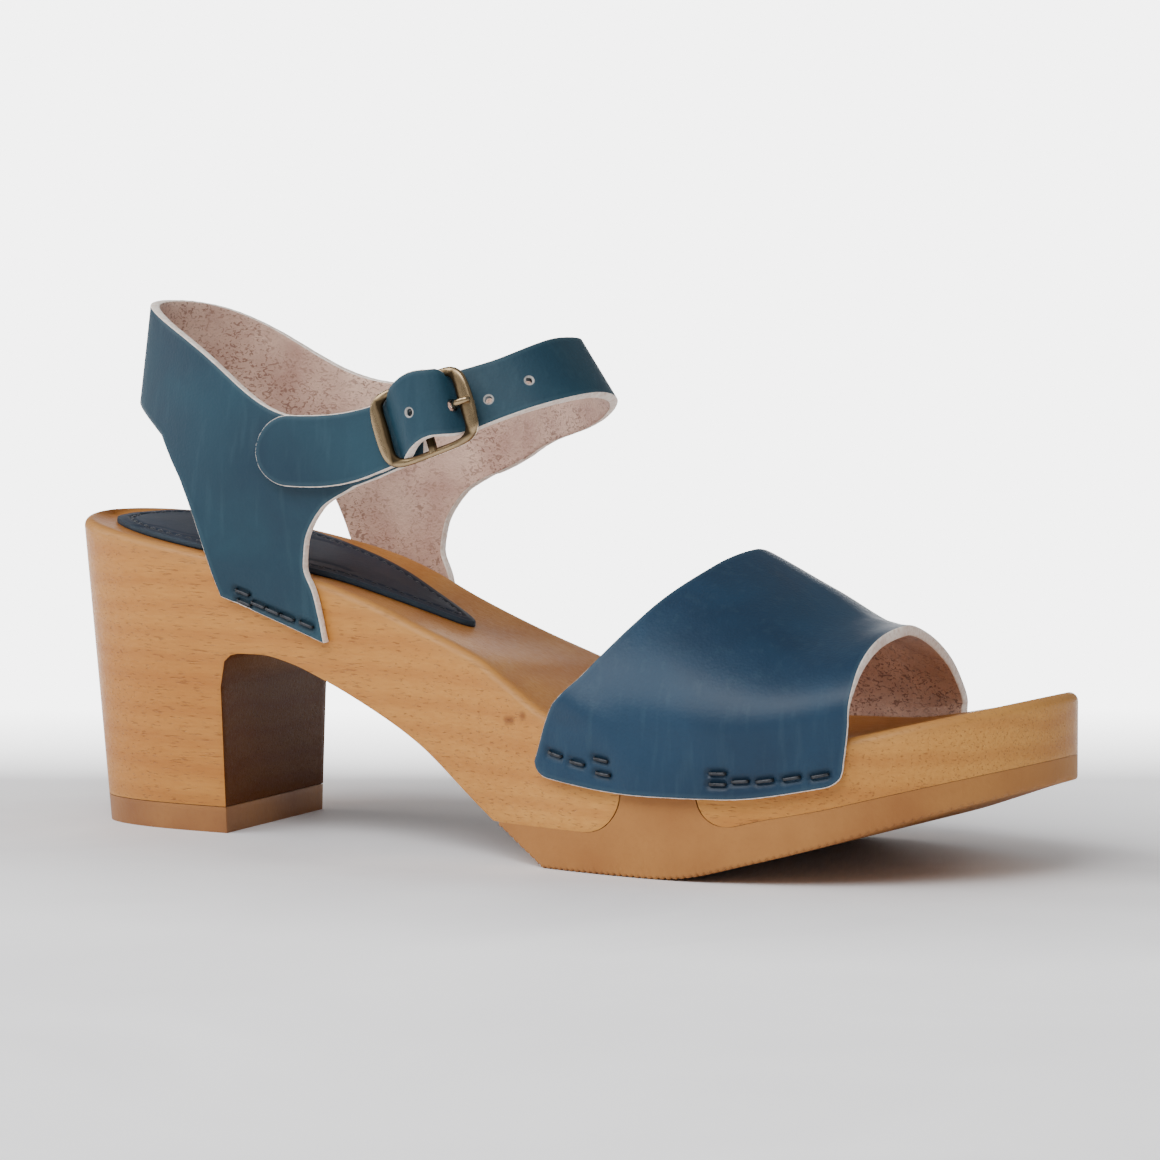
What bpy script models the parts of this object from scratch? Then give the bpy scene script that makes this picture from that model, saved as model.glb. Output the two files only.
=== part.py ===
"""Clog sandal, right shoe: wooden sole with a block heel, rubber forefoot sole and heel lift,
padded heel sock, a wide open-toed vamp and a heel quarter whose ankle strap runs through a buckle.

Metres, +Z up, +X to the toe, +Y to the inner side. The origin is on the floor under the heel.
"""

import math

import bmesh
import bpy
import numpy as np

# The columns of the outer and the inner side in the tables
SIDES = OUTER, INNER = range(1, 3)

# Sole
LENGTH = 0.248
BALL_WIDTH = 0.089
HEEL_SETBACK = 0.029
HEEL_HEIGHT = 0.0715
PLATFORM = 0.0278
TOE_HEIGHT = 0.0395
TOE_SPRING = 0.0205
ARCH_HEIGHT = 0.042
HEEL_BREAST = 0.0475
HEEL_SHOULDER = 0.034
HEEL_LEAN_BACK = 0.0065
HEEL_LEAN_SIDE = 0.005
BREAST_SKEW = 0.108
FOOTBED_DISH = 0.0012
RIM_RADIUS = 0.002
RUBBER = 0.009
RUBBER_TOE = 0.0055
RUBBER_EDGE = 0.0006
RUBBER_ROUND = 0.0018
LIFT = 0.006
GROOVE_PLACE = 0.1742
GROOVE_WIDTH = 0.019
GROOVE_CORNER = 0.0095
GROOVE_ROOF = 0.0055
SOCK = 0.0016
GAP = 0.0003

# Leather upper
WALL = 0.0022
VAMP_OVERLAP = 0.0095
INSTEP = 0.0685
VAMP_CORNER = 0.0028
FLANK_RISE = {OUTER: 0.0045, INNER: 0.002}
LAP = 0.0004
BACK_HEIGHT = 0.1214
ANKLE_LEVEL = 0.085
TAIL_ROUND = 0.0085

# Buckle, measured along and across the strap
FRAME_LENGTH = 0.0255
STRAP_PLAY = 0.0008
FRAME_CORNER = 0.0036
BAR_WIDTH = 0.0033
BAR_THICKNESS = 0.0019
RAIL_WIDTH = 0.0016
RAIL_THICKNESS = 0.0012
CENTRE_BAR = 0.0019
STRAP_BULGE = 0.0052
STRAP_RISE = 0.0017
RISE_REACH = 0.0075
BUCKLE_ROW = 19.905
BUCKLE_SLOPE = math.radians(20.3)
BUCKLE_LIFT = 0.0005
PRONG = 0.0013
PRONG_ROOT = 0.0066

# Shares of the sole's length and of half the ball's width, one row for each rib of the outline
OUTLINE = (
    # along, outer side, inner side
    (0.000, 0.000, 0.000),
    (0.005, -0.180, 0.180),
    (0.020, -0.371, 0.355),
    (0.052, -0.539, 0.512),
    (0.113, -0.652, 0.625),
    (0.194, -0.674, 0.652),
    (0.274, -0.674, 0.618),
    (0.355, -0.685, 0.573),
    (0.435, -0.730, 0.596),
    (0.516, -0.831, 0.697),
    (0.597, -0.944, 0.831),
    (0.677, -1.004, 0.944),
    (0.754, -1.007, 0.978),
    (0.823, -0.955, 0.928),
    (0.883, -0.843, 0.825),
    (0.935, -0.652, 0.663),
    (0.976, -0.382, 0.461),
    (0.996, -0.112, 0.258),
    (1.000, 0.079, 0.079),
)

# The footbed's edge above the platform, as shares of the heel's and of the toe's rise
FOOTBED = (
    # along, outer heel rise, inner heel rise, toe rise
    (0.000, 1.000, 1.000, 0.00),
    (0.073, 0.940, 0.955, 0.00),
    (0.195, 0.836, 0.850, 0.00),
    (0.266, 0.775, 0.765, 0.00),
    (0.306, 0.735, 0.690, 0.00),
    (0.355, 0.660, 0.570, 0.00),
    (0.431, 0.510, 0.390, 0.00),
    (0.496, 0.384, 0.235, 0.00),
    (0.524, 0.300, 0.150, 0.00),
    (0.585, 0.125, 0.052, 0.00),
    (0.690, 0.000, 0.000, 0.00),
    (0.770, 0.000, 0.000, 0.03),
    (0.870, 0.000, 0.000, 0.36),
    (0.923, 0.000, 0.000, 0.62),
    (0.962, 0.000, 0.000, 0.81),
    (1.000, 0.000, 0.000, 1.00),
)

# The underside from the heel's breast to the floor, as shares of the arch's height
ARCH = (
    # distance in front of the breast as a share of the length, height
    (0.000, 0.810),
    (0.004, 0.905),
    (0.012, 0.968),
    (0.025, 0.998),
    (0.055, 1.000),
    (0.088, 0.965),
    (0.123, 0.895),
    (0.177, 0.760),
    (0.236, 0.585),
    (0.304, 0.310),
    (0.360, 0.095),
    (0.383, 0.010),
    (0.390, -0.020),
)

# The rubber's underside from the ball to the toe, as shares of the toe spring and of its thinning
ROCKER = (
    # along, rise, thinning
    (0.700, 0.00, 0.00),
    (0.720, 0.02, 0.00),
    (0.790, 0.22, 0.00),
    (0.855, 0.44, 0.30),
    (0.895, 0.60, 0.50),
    (0.950, 0.82, 0.80),
    (1.000, 1.00, 1.00),
)

# The sock's outline, in the same shares as the sole's
SOCK_OUTLINE = (
    # along, outer side, inner side
    (0.030, 0.000, 0.000),
    (0.036, -0.157, 0.157),
    (0.052, -0.303, 0.303),
    (0.089, -0.449, 0.438),
    (0.137, -0.535, 0.500),
    (0.194, -0.555, 0.460),
    (0.250, -0.517, 0.370),
    (0.302, -0.427, 0.281),
    (0.351, -0.303, 0.180),
    (0.387, -0.195, 0.085),
    (0.409, -0.125, 0.000),
    (0.415, -0.060, -0.060),
)

# The vamp's crest over the foot
VAMP_CREST = (
    # along, height as a share of the instep's height, across as a share of half the ball's width
    (0.575, 1.185, 0.03),
    (0.640, 1.090, 0.03),
    (0.702, 1.000, 0.02),
    (0.758, 0.902, 0.02),
    (0.823, 0.795, -0.04),
    (0.851, 0.783, -0.10),
    (0.880, 0.785, -0.17),
)

# The vamp's two open edges from the outer side over the crest to the inner side
VAMP_EDGES = (
    # place around the section, rear edge along, front edge along
    (0.00, 0.576, 0.874),
    (0.13, 0.598, 0.878),
    (0.20, 0.626, 0.878),
    (0.30, 0.664, 0.875),
    (0.40, 0.692, 0.870),
    (0.50, 0.702, 0.865),
    (0.60, 0.697, 0.850),
    (0.70, 0.678, 0.837),
    (0.80, 0.650, 0.829),
    (0.87, 0.630, 0.828),
    (1.00, 0.612, 0.826),
)

FLANK_SHARE = 0.74
CORNER_REACH = 0.05
ROUNDNESS = {
    # the section's roundness at the rear and at the front edge, 2 being an ellipse
    OUTER: (1.6, 2.1),
    INNER: (1.6, 1.5),
}

# The quarter and its strap: one row for each station of the path round the ankle, starting at
# the buckle on the outer side and going round the heel's back. Plan places are shares of the
# length and of half the ball's width, at the ankle level and at the back's height; the edges
# are shares of the back's height.
PATH = (
    # along, across, along above, across above, lower edge, upper edge
    (0.440, -0.742, 0.438, -0.685, 0.735, 0.828),
    (0.363, -0.753, 0.363, -0.690, 0.671, 0.808),
    (0.282, -0.753, 0.284, -0.670, 0.640, 0.800),
    (0.205, -0.722, 0.210, -0.625, 0.664, 0.882),
    (0.134, -0.600, 0.141, -0.505, 0.750, 0.951),
    (0.076, -0.360, 0.090, -0.305, 0.804, 0.988),
    (0.054, 0.000, 0.069, 0.000, 0.815, 0.997),
    (0.076, 0.370, 0.090, 0.315, 0.802, 0.985),
    (0.129, 0.600, 0.141, 0.530, 0.741, 0.931),
    (0.202, 0.690, 0.208, 0.640, 0.660, 0.855),
    (0.282, 0.708, 0.282, 0.675, 0.640, 0.834),
    (0.363, 0.700, 0.352, 0.635, 0.668, 0.846),
    (0.431, 0.618, 0.392, 0.494, 0.730, 0.868),
    (0.507, 0.450, 0.442, 0.348, 0.771, 0.900),
    (0.573, 0.250, 0.484, 0.146, 0.815, 0.929),
    (0.606, 0.010, 0.501, -0.022, 0.838, 0.942),
    (0.622, -0.225, 0.503, -0.225, 0.847, 0.945),
    (0.605, -0.500, 0.498, -0.400, 0.840, 0.936),
    (0.566, -0.670, 0.465, -0.570, 0.817, 0.907),
    (0.508, -0.725, 0.440, -0.650, 0.783, 0.884),
    (0.440, -0.742, 0.438, -0.685, 0.739, 0.857),
    (0.363, -0.753, 0.363, -0.690, 0.679, 0.808),
    (0.282, -0.753, 0.284, -0.670, 0.671, 0.798),
    (0.202, -0.722, 0.210, -0.625, 0.680, 0.790),
)
TAB_END = 0.05
TAIL_START = 20
TAIL_END = 22.22
TAIL_ROWS = 0.45
OUTER_LEG = (1, 4)
INNER_LEG = (11, 8)

# The legs' free edges below the band, from the band down to the wood
LEG = (
    # down the leg, front edge's drift, rear edge's drift, front height, rear height
    (0.00, 0.363, 0.134, 0.671, 0.750),
    (0.20, 0.328, 0.168, 0.628, 0.665),
    (0.45, 0.309, 0.187, 0.560, 0.598),
    (0.62, 0.307, 0.199, 0.518, 0.540),
    (0.80, 0.317, 0.207, 0.467, 0.495),
    (1.00, 0.327, 0.215, 0.378, 0.455),
)

# Counts of facets
ACROSS = 10
RIM_STEPS = 3
ROUND_STEPS = 3
WALL_ROWS = 3
HEEL_ROWS = 3
HEEL_RIBS = 9
ARCH_RIBS = 4
TOE_RIBS = 13
GROOVE_STEPS = 4
SOCK_RIBS = 20
BAND_ROWS = 5
BACK_STATIONS = 14
STRAP_STATIONS = 24
BUCKLE_STATIONS = 30
TAIL_STATIONS = 8
LEG_ACROSS = 10
LEG_ROWS = 9
FLANK_ROWS = 4
VAMP_ALONG = 14
VAMP_AROUND = 30
RING_STEPS = 40
RING_SIDES = 8


def curve(knots, values, at):
    """Cubic through the rows that doesn't overshoot them."""
    knots = np.asarray(knots, float)
    values = np.asarray(values, float)
    step = np.diff(knots)
    slope = np.diff(values) / step
    tangent = np.concatenate([slope[:1], np.zeros(len(knots) - 2), slope[-1:]])
    for i in range(1, len(knots) - 1):
        if slope[i - 1] * slope[i] > 0:
            after = 2 * step[i] + step[i - 1]
            before = step[i] + 2 * step[i - 1]
            tangent[i] = (after + before) / (after / slope[i - 1] + before / slope[i])
    at = np.clip(at, knots[0], knots[-1])
    i = np.clip(np.searchsorted(knots, at, side="right") - 1, 0, len(step) - 1)
    u = (at - knots[i]) / step[i]
    rise = values[i + 1] - values[i]
    start = tangent[i] * step[i]
    end = tangent[i + 1] * step[i]
    return values[i] + u * start + u * u * (3 * rise - 2 * start - end) + u**3 * (start + end - 2 * rise)


class Rows:
    """A table read as one smooth curve through its rows, by row number."""

    def __init__(self, table):
        self.rows = np.array(table, float)
        count = len(self.rows)
        matrix = np.eye(count)
        right = np.zeros_like(self.rows)
        for i in range(1, count - 1):
            matrix[i, i - 1 : i + 2] = (1, 4, 1)
            right[i] = 6 * (self.rows[i - 1] - 2 * self.rows[i] + self.rows[i + 1])
        self.bend = np.linalg.solve(matrix, right)

    def __call__(self, t):
        t = np.clip(np.asarray(t, float), 0, len(self.rows) - 1)
        i = np.minimum(t.astype(int), len(self.rows) - 2)
        u = (t - i)[..., None]
        v = 1 - u
        ends = v * self.rows[i] + u * self.rows[i + 1]
        return ends + ((v**3 - v) * self.bend[i] + (u**3 - u) * self.bend[i + 1]) / 6


def column(table, index):
    return [row[index] for row in table]


def mix(a, b, share):
    return a + (b - a) * share


def smoothstep(low, high, value):
    u = np.clip((value - low) / (high - low), 0, 1)
    return u * u * (3 - 2 * u)


class Profile:
    """One column of a table read as a smooth curve over its first column."""

    FINE = 2000

    def __init__(self, table, index):
        knots = column(table, 0)
        self.start = knots[0]
        self.step = (knots[-1] - knots[0]) / self.FINE
        at = np.linspace(knots[0], knots[-1], self.FINE + 1)
        self.values = curve(knots, column(table, index), at).tolist()

    def __call__(self, at):
        place = min(max((at - self.start) / self.step, 0), self.FINE)
        i = min(int(place), self.FINE - 1)
        return mix(self.values[i], self.values[i + 1], place - i)


class Outline:
    """A closed plan outline in ribs from back to front; x counts from the sole's back."""

    FINE = 60

    def __init__(self, table):
        scaled = [(row[0] * LENGTH, row[1] * BALL_WIDTH / 2, row[2] * BALL_WIDTH / 2) for row in table]
        self.rows = Rows(scaled)
        self.last = len(table) - 1
        self.fine = np.linspace(0, self.last, self.last * self.FINE + 1)
        self.reach = np.maximum.accumulate(self.rows(self.fine)[:, 0])

    def rib_at(self, x):
        return float(np.interp(x, self.reach, self.fine))

    def edges(self, x):
        """The outer and the inner side's y at x."""
        row = self.rows(self.rib_at(x))
        return row[1], row[2]

    def point(self, rib, side, inset=0.0):
        """The edge's point on one side, moved inwards, and the inward direction."""
        here = self.rows(rib)
        near = 1e-3
        before = self.rows(max(rib - near, 0))
        after = self.rows(min(rib + near, self.last))
        run = np.array([after[0] - before[0], after[side] - before[side]])
        if rib <= 0:
            inward = np.array([1.0, 0.0])
        elif rib >= self.last:
            inward = np.array([-1.0, 0.0])
        else:
            inward = np.array([-run[1], run[0]]) / np.hypot(*run)
            if side == 2:
                inward = -inward
        return np.array([here[0], here[side]]) + inset * inward, inward


sole_outline = Outline(OUTLINE)
heel_rise = {side: Profile(FOOTBED, side) for side in SIDES}
toe_rise = Profile(FOOTBED, 3)
rocker_rise = Profile(ROCKER, 1)
rocker_thinning = Profile(ROCKER, 2)
arch_rise = Profile(ARCH, 1)
crest_height = Profile(VAMP_CREST, 1)
crest_across = Profile(VAMP_CREST, 2)
vamp_rear = Profile(VAMP_EDGES, 1)
vamp_front = Profile(VAMP_EDGES, 2)
leg_edges = [Profile(LEG, index) for index in (1, 2, 3, 4)]


def edge_height(x, side):
    """The footbed's edge above the floor."""
    heel = heel_rise[side](x / LENGTH) * (HEEL_HEIGHT - PLATFORM)
    return PLATFORM + heel + toe_rise(x / LENGTH) * (TOE_HEIGHT - PLATFORM)


def across_height(x, share):
    """The footbed at x, at a share of the way from its outer to its inner edge."""
    edge = mix(edge_height(x, OUTER), edge_height(x, INNER), share)
    return edge - FOOTBED_DISH * 4 * share * (1 - share) * (1 - smoothstep(0.35, 0.6, x / LENGTH))


def footbed(x, y):
    outer, inner = sole_outline.edges(x)
    outer, inner = outer + RIM_RADIUS, inner - RIM_RADIUS
    return across_height(x, min(max((y - outer) / max(inner - outer, GAP), 0), 1))


def rocker(x):
    return rocker_rise(x / LENGTH) * TOE_SPRING


def rubber_line(x):
    """Where the wood meets the rubber, without the groove."""
    return rocker(x) + mix(RUBBER, RUBBER_TOE, rocker_thinning(x / LENGTH))


def arch(x):
    return arch_rise((x - HEEL_BREAST) / LENGTH) * ARCH_HEIGHT


def wood_underside(x):
    base = max(arch(x), rubber_line(x))
    roof = min(edge_height(x, OUTER), edge_height(x, INNER)) - GROOVE_ROOF
    away = abs(x - GROOVE_PLACE)
    if away < GROOVE_WIDTH / 2 - GAP / 2:
        return roof
    into = GROOVE_WIDTH / 2 + GROOVE_CORNER - away
    if into <= 0:
        return base
    into = min(into, GROOVE_CORNER)
    return min(base + GROOVE_CORNER - math.sqrt(GROOVE_CORNER**2 - into**2), roof)


def rubber_top(x):
    return min(wood_underside(near) for near in (x - GAP, x, x + GAP)) - GAP


def rubber_underside(x):
    return max(rocker(x), arch(x), 0.0)


def lean(x, z, inward, side):
    """How far the heel's wall stands in from the footbed's edge at height z."""
    foot = mix(HEEL_LEAN_SIDE, HEEL_LEAN_BACK, max(inward[0], 0) ** 2)
    fade = 1 - smoothstep(HEEL_BREAST, 2.5 * HEEL_BREAST, x)
    height = edge_height(x, side)
    return foot * fade * max(height - z, 0) / height


def world(x, y, z):
    return (x - HEEL_SETBACK, y, z)


def skewed(x, y, z):
    """The heel's breast runs a little aslant; the footbed over it doesn't."""
    near = math.exp(-(((x - HEEL_BREAST) / (0.4 * HEEL_BREAST)) ** 2))
    depth = 1 - smoothstep(HEEL_SHOULDER, 1.5 * HEEL_SHOULDER, z)
    return world(x - BREAST_SKEW * y * near * depth, y, z)


class Mesh:
    """Collects grids of points and joins them where their edges coincide."""

    WELD = 2e-6

    def __init__(self):
        self.bm = bmesh.new()

    def grid(self, rows):
        made = [[self.bm.verts.new(point) for point in row] for row in rows]
        for above, below in zip(made, made[1:]):
            for i in range(len(above) - 1):
                self.bm.faces.new((above[i], above[i + 1], below[i + 1], below[i]))

    def finish(self, name, material, sharp=35):
        bm = self.bm
        bmesh.ops.remove_doubles(bm, verts=bm.verts, dist=self.WELD)
        bmesh.ops.dissolve_degenerate(bm, edges=bm.edges, dist=self.WELD)
        bmesh.ops.recalc_face_normals(bm, faces=bm.faces)
        if bm.calc_volume(signed=True) < 0:
            bmesh.ops.reverse_faces(bm, faces=bm.faces)
        mesh = bpy.data.meshes.new(name)
        bm.to_mesh(mesh)
        bm.free()
        mesh.materials.append(material)
        mesh.shade_smooth()
        mesh.set_sharp_from_angle(angle=math.radians(sharp))
        made = bpy.data.objects.new(name, mesh)
        bpy.context.collection.objects.link(made)
        return made


def material(name, colour, roughness, metallic=0.0):
    made = bpy.data.materials.new(name)
    made.use_nodes = True
    shader = made.node_tree.nodes["Principled BSDF"]
    shader.inputs["Base Color"].default_value = (*colour, 1)
    shader.inputs["Roughness"].default_value = roughness
    shader.inputs["Metallic"].default_value = metallic
    return made


def between(start, end, count):
    return [mix(start, end, i / count) for i in range(count + 1)]


def groove_stations():
    """Ribs on the round corners and walls of the flex groove."""
    turns = between(0, math.pi / 2, GROOVE_STEPS)
    away = [GROOVE_WIDTH / 2 + GROOVE_CORNER * (1 - math.sin(angle)) for angle in turns]
    away += [GROOVE_WIDTH / 2 - GAP, GROOVE_WIDTH / 6]
    return [GROOVE_PLACE - out for out in away] + [GROOVE_PLACE + out for out in reversed(away)]


def heel_ribs():
    straight = [sole_outline.rib_at(HEEL_BREAST * share) for share in (0.6, 0.8, 1.0)]
    return between(0, straight[0], HEEL_RIBS)[:-1] + straight


def arch_ribs():
    near_breast = (0.003, 0.008, 0.018, 0.035, 0.06, 0.09)
    places = [HEEL_BREAST + share * LENGTH for share in near_breast]
    places += between(HEEL_BREAST + 0.12 * LENGTH, rubber_start() - 0.008, ARCH_RIBS)
    return [sole_outline.rib_at(x) for x in places]


def forefoot_ribs():
    groove = groove_stations()
    places = [rubber_start() + extra for extra in (0, 0.003, 0.006, 0.010)] + groove
    ribs = [sole_outline.rib_at(x) for x in places]
    return ribs + between(sole_outline.rib_at(groove[-1] + 0.006), sole_outline.last, TOE_RIBS)


def rubber_start():
    """Where the arch's slope has cut the rubber down to its thin rear edge."""
    places = np.linspace(HEEL_BREAST, GROOVE_PLACE, 2000)
    return float(next(x for x in places if rubber_line(x) - GAP - RUBBER_EDGE > arch(x)))


def wall_column(rib, side, bottom, rows, rim=True):
    """Points down one side of the wood, from the footbed's rounded rim to the bottom."""
    here, inward = sole_outline.point(rib, side)
    top = edge_height(here[0], side)
    levels = []
    if rim:
        for i in range(RIM_STEPS):
            angle = math.pi / 2 * i / RIM_STEPS
            levels.append((RIM_RADIUS * (1 - math.sin(angle)), top - RIM_RADIUS * (1 - math.cos(angle))))
        top -= RIM_RADIUS
    levels += [(0.0, z) for z in between(top, bottom, rows)]
    points = []
    for inset, z in levels:
        inset += lean(here[0], z, inward, side)
        x, y = here + inset * inward
        points.append(skewed(x, y, z))
    return points


def sheet_row(start, end, height=None):
    """Points straight across from one side's point to the other's, with a height for each share."""
    row = []
    for i in range(ACROSS + 1):
        share = i / ACROSS
        x, y, z = (mix(a, b, share) for a, b in zip(start, end))
        row.append((x, y, z if height is None else height(share)))
    return row


def footbed_row(rib):
    ends = [sole_outline.point(rib, side, RIM_RADIUS)[0] for side in SIDES]
    ends = [world(x, y, edge_height(sole_outline.rows(rib)[0], side)) for (x, y), side in zip(ends, SIDES)]
    station = float(sole_outline.rows(rib)[0])
    return sheet_row(*ends, lambda share: across_height(station, share))


def wood_bottom(rib):
    return wood_underside(float(sole_outline.rows(rib)[0]))


def make_sole(wood):
    mesh = Mesh()
    heel = heel_ribs()
    front = heel[-1:] + arch_ribs() + forefoot_ribs()
    ribs = heel + front[1:]
    mesh.grid([footbed_row(rib) for rib in ribs])
    floor = LIFT + GAP
    for side in SIDES:
        upper = [wall_column(rib, side, HEEL_SHOULDER, WALL_ROWS) for rib in heel]
        upper += [wall_column(rib, side, wood_bottom(rib), WALL_ROWS) for rib in front[1:]]
        mesh.grid(upper)
    mesh.grid([bottom_row(rib, HEEL_SHOULDER if rib == front[0] else wood_bottom(rib)) for rib in front])
    block_faces(mesh, heel, HEEL_SHOULDER, floor, HEEL_ROWS)
    mesh.grid([bottom_row(rib, floor) for rib in heel])
    return mesh.finish("sole_wood", wood)


def side_point(rib, side, z, inset=0.0):
    """The wall's point at height z, moved inwards."""
    here, inward = sole_outline.point(rib, side)
    x, y = here + (inset + lean(here[0], z, inward, side)) * inward
    return skewed(x, y, z)


def bottom_row(rib, z, inset=0.0):
    return sheet_row(*(side_point(rib, side, z, inset) for side in SIDES))


def block_faces(mesh, ribs, top, bottom, rows):
    """The heel block's walls and breast between two heights."""
    for side in SIDES:
        mesh.grid([[side_point(rib, side, z) for z in between(top, bottom, rows)] for rib in ribs])
    mesh.grid([bottom_row(ribs[-1], z) for z in between(top, bottom, rows)])


def make_lift(rubber):
    mesh = Mesh()
    ribs = heel_ribs()
    for height in (LIFT, 0.0):
        mesh.grid([bottom_row(rib, height) for rib in ribs])
    block_faces(mesh, ribs, LIFT, 0.0, 1)
    return mesh.finish("heel_lift", rubber)


def rubber_levels(rib):
    """Heights and insets down the rubber's side, rounded at its lower edge."""
    x = float(sole_outline.rows(rib)[0])
    top = rubber_top(x)
    bottom = min(rubber_underside(x), top - RUBBER_EDGE)
    rounding = min(RUBBER_ROUND, 0.8 * (top - bottom))
    levels = [(top, 0.0)]
    for i in range(ROUND_STEPS + 1):
        angle = math.pi / 2 * i / ROUND_STEPS
        levels.append((bottom + rounding * (1 - math.sin(angle)), rounding * (1 - math.cos(angle))))
    return levels


def make_outsole(rubber):
    mesh = Mesh()
    ribs = forefoot_ribs()
    mesh.grid([bottom_row(rib, *rubber_levels(rib)[0]) for rib in ribs])
    mesh.grid([bottom_row(rib, *rubber_levels(rib)[-1]) for rib in ribs])
    for side in SIDES:
        mesh.grid([[side_point(rib, side, *level) for level in rubber_levels(rib)] for rib in ribs])
    mesh.grid([bottom_row(ribs[0], *level) for level in rubber_levels(ribs[0])])
    return mesh.finish("outsole", rubber)


def make_sock(leather):
    mesh = Mesh()
    outline = Outline(SOCK_OUTLINE)
    ribs = between(0, outline.last, SOCK_RIBS)

    def level(rib, side, lift, inset=0.0):
        x, y = outline.point(rib, side, inset)[0]
        return x, y, footbed(x, y) + lift

    def surface(rib, lift, inset):
        ends = [level(rib, side, lift, inset) for side in SIDES]
        row = sheet_row(*ends)
        return [world(x, y, footbed(x, y) + lift) for x, y, z in row]

    crown = SOCK / 2
    mesh.grid([surface(rib, GAP + SOCK, crown) for rib in ribs])
    mesh.grid([surface(rib, GAP, 0.0) for rib in ribs])
    for side in SIDES:
        rims = ((GAP + SOCK, crown), (GAP + crown, 0.0), (GAP, 0.0))
        mesh.grid([[world(*level(rib, side, lift, inset)) for lift, inset in rims] for rib in ribs])
    return mesh.finish("insole", leather)


class Shell:
    """A leather sheet of even wall: grids of (outer, inner) points, closed along their free edges."""

    def __init__(self):
        self.bm = bmesh.new()
        self.known = {}
        self.uses = {}

    def vertex(self, pair):
        key = tuple(np.round(np.asarray(pair[0]) / GAP * 50).astype(int))
        if key not in self.known:
            self.known[key] = tuple(self.bm.verts.new(tuple(point)) for point in pair)
        return key

    def grid(self, rows):
        keys = [[self.vertex(pair) for pair in row] for row in rows]
        for above, below in zip(keys, keys[1:]):
            for i in range(len(above) - 1):
                self.face((above[i], above[i + 1], below[i + 1], below[i]))

    def face(self, corners):
        corners = [c for i, c in enumerate(corners) if c != corners[i - 1]]
        if len(set(corners)) < 3:
            return
        self.bm.faces.new([self.known[c][0] for c in corners])
        self.bm.faces.new([self.known[c][1] for c in reversed(corners)])
        for start, end in zip(corners, corners[1:] + corners[:1]):
            if self.uses.pop((end, start), None) is None:
                self.uses[(start, end)] = True

    def finish(self, name, leather):
        for start, end in self.uses:
            outer = self.known[start][0], self.known[end][0]
            inner = self.known[end][1], self.known[start][1]
            self.bm.faces.new((outer[1], outer[0], inner[1], inner[0]))
        mesh = Mesh()
        mesh.bm = self.bm
        return mesh.finish(name, leather)


def with_wall(surface, u, v):
    """The outer point at (u, v) and the inner point a wall's thickness behind it."""
    near = 1e-4
    along = np.subtract(surface(u + near, v), surface(u - near, v))
    up = np.subtract(surface(u, v + near), surface(u, v - near))
    normal = np.cross(up, along)
    normal /= np.linalg.norm(normal)
    outer = np.asarray(surface(u, v), float)
    return outer, outer - WALL * normal


def vamp_face(around, along, lower):
    """The vamp's outer face: around the section from outer to inner side, along from rear to front."""
    share = mix(vamp_rear(around), vamp_front(around), along)
    x = share * LENGTH
    crest = crest_height(share) * INSTEP
    middle = crest_across(share) * BALL_WIDTH / 2
    side = OUTER if around < 0.5 else INNER
    edge = sole_outline.edges(x)[side - 1]
    edge += math.copysign(GAP + WALL, edge)
    flank = edge_height(x, side) + FLANK_RISE[side]
    away = abs(around - 0.5) * 2
    if away > FLANK_SHARE:
        down = (away - FLANK_SHARE) / (1 - FLANK_SHARE)
        return np.array(world(x, edge, mix(flank, lower, down)))
    angle = math.pi / 2 * away / FLANK_SHARE
    power = 2 / mix(*ROUNDNESS[side], along)
    y = middle + (edge - middle) * math.sin(angle) ** power
    return np.array(world(x, y, flank + (crest - flank) * max(math.cos(angle), 0) ** power))


def vamp_pair(around, along):
    lower = vamp_lower(along)
    return with_wall(lambda u, v: vamp_face(u, v, lower), around, along)


def vamp_lower(along):
    """The vamp's lower edge, with its corners rounded."""
    x = mix(VAMP_EDGES[0][1], VAMP_EDGES[0][2], along) * LENGTH
    middle = min(edge_height(x, OUTER), edge_height(x, INNER)) - VAMP_OVERLAP
    sag = 0.0
    for corner in (along, 1 - along):
        into = min(max(1 - corner / CORNER_REACH, 0), 1)
        sag += VAMP_CORNER * (1 - math.sqrt(1 - into**2))
    return middle + sag


def make_vamp(leather):
    shell = Shell()
    flank = (1 - FLANK_SHARE) / 2
    arounds = between(0, flank, FLANK_ROWS)[:-1] + between(flank, 1 - flank, VAMP_AROUND)
    arounds += between(1 - flank, 1, FLANK_ROWS)[1:]
    alongs = [0, 0.02, 0.06, 0.13] + between(0.2, 0.8, VAMP_ALONG - 6) + [0.87, 0.94, 0.98, 1]
    shell.grid([[vamp_pair(around, along) for around in arounds] for along in alongs])
    return shell.finish("vamp", leather)


path_rows = Rows(PATH)
BUCKLE_HEIGHT = float(np.mean(path_rows(BUCKLE_ROW)[4:6])) * BACK_HEIGHT


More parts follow.
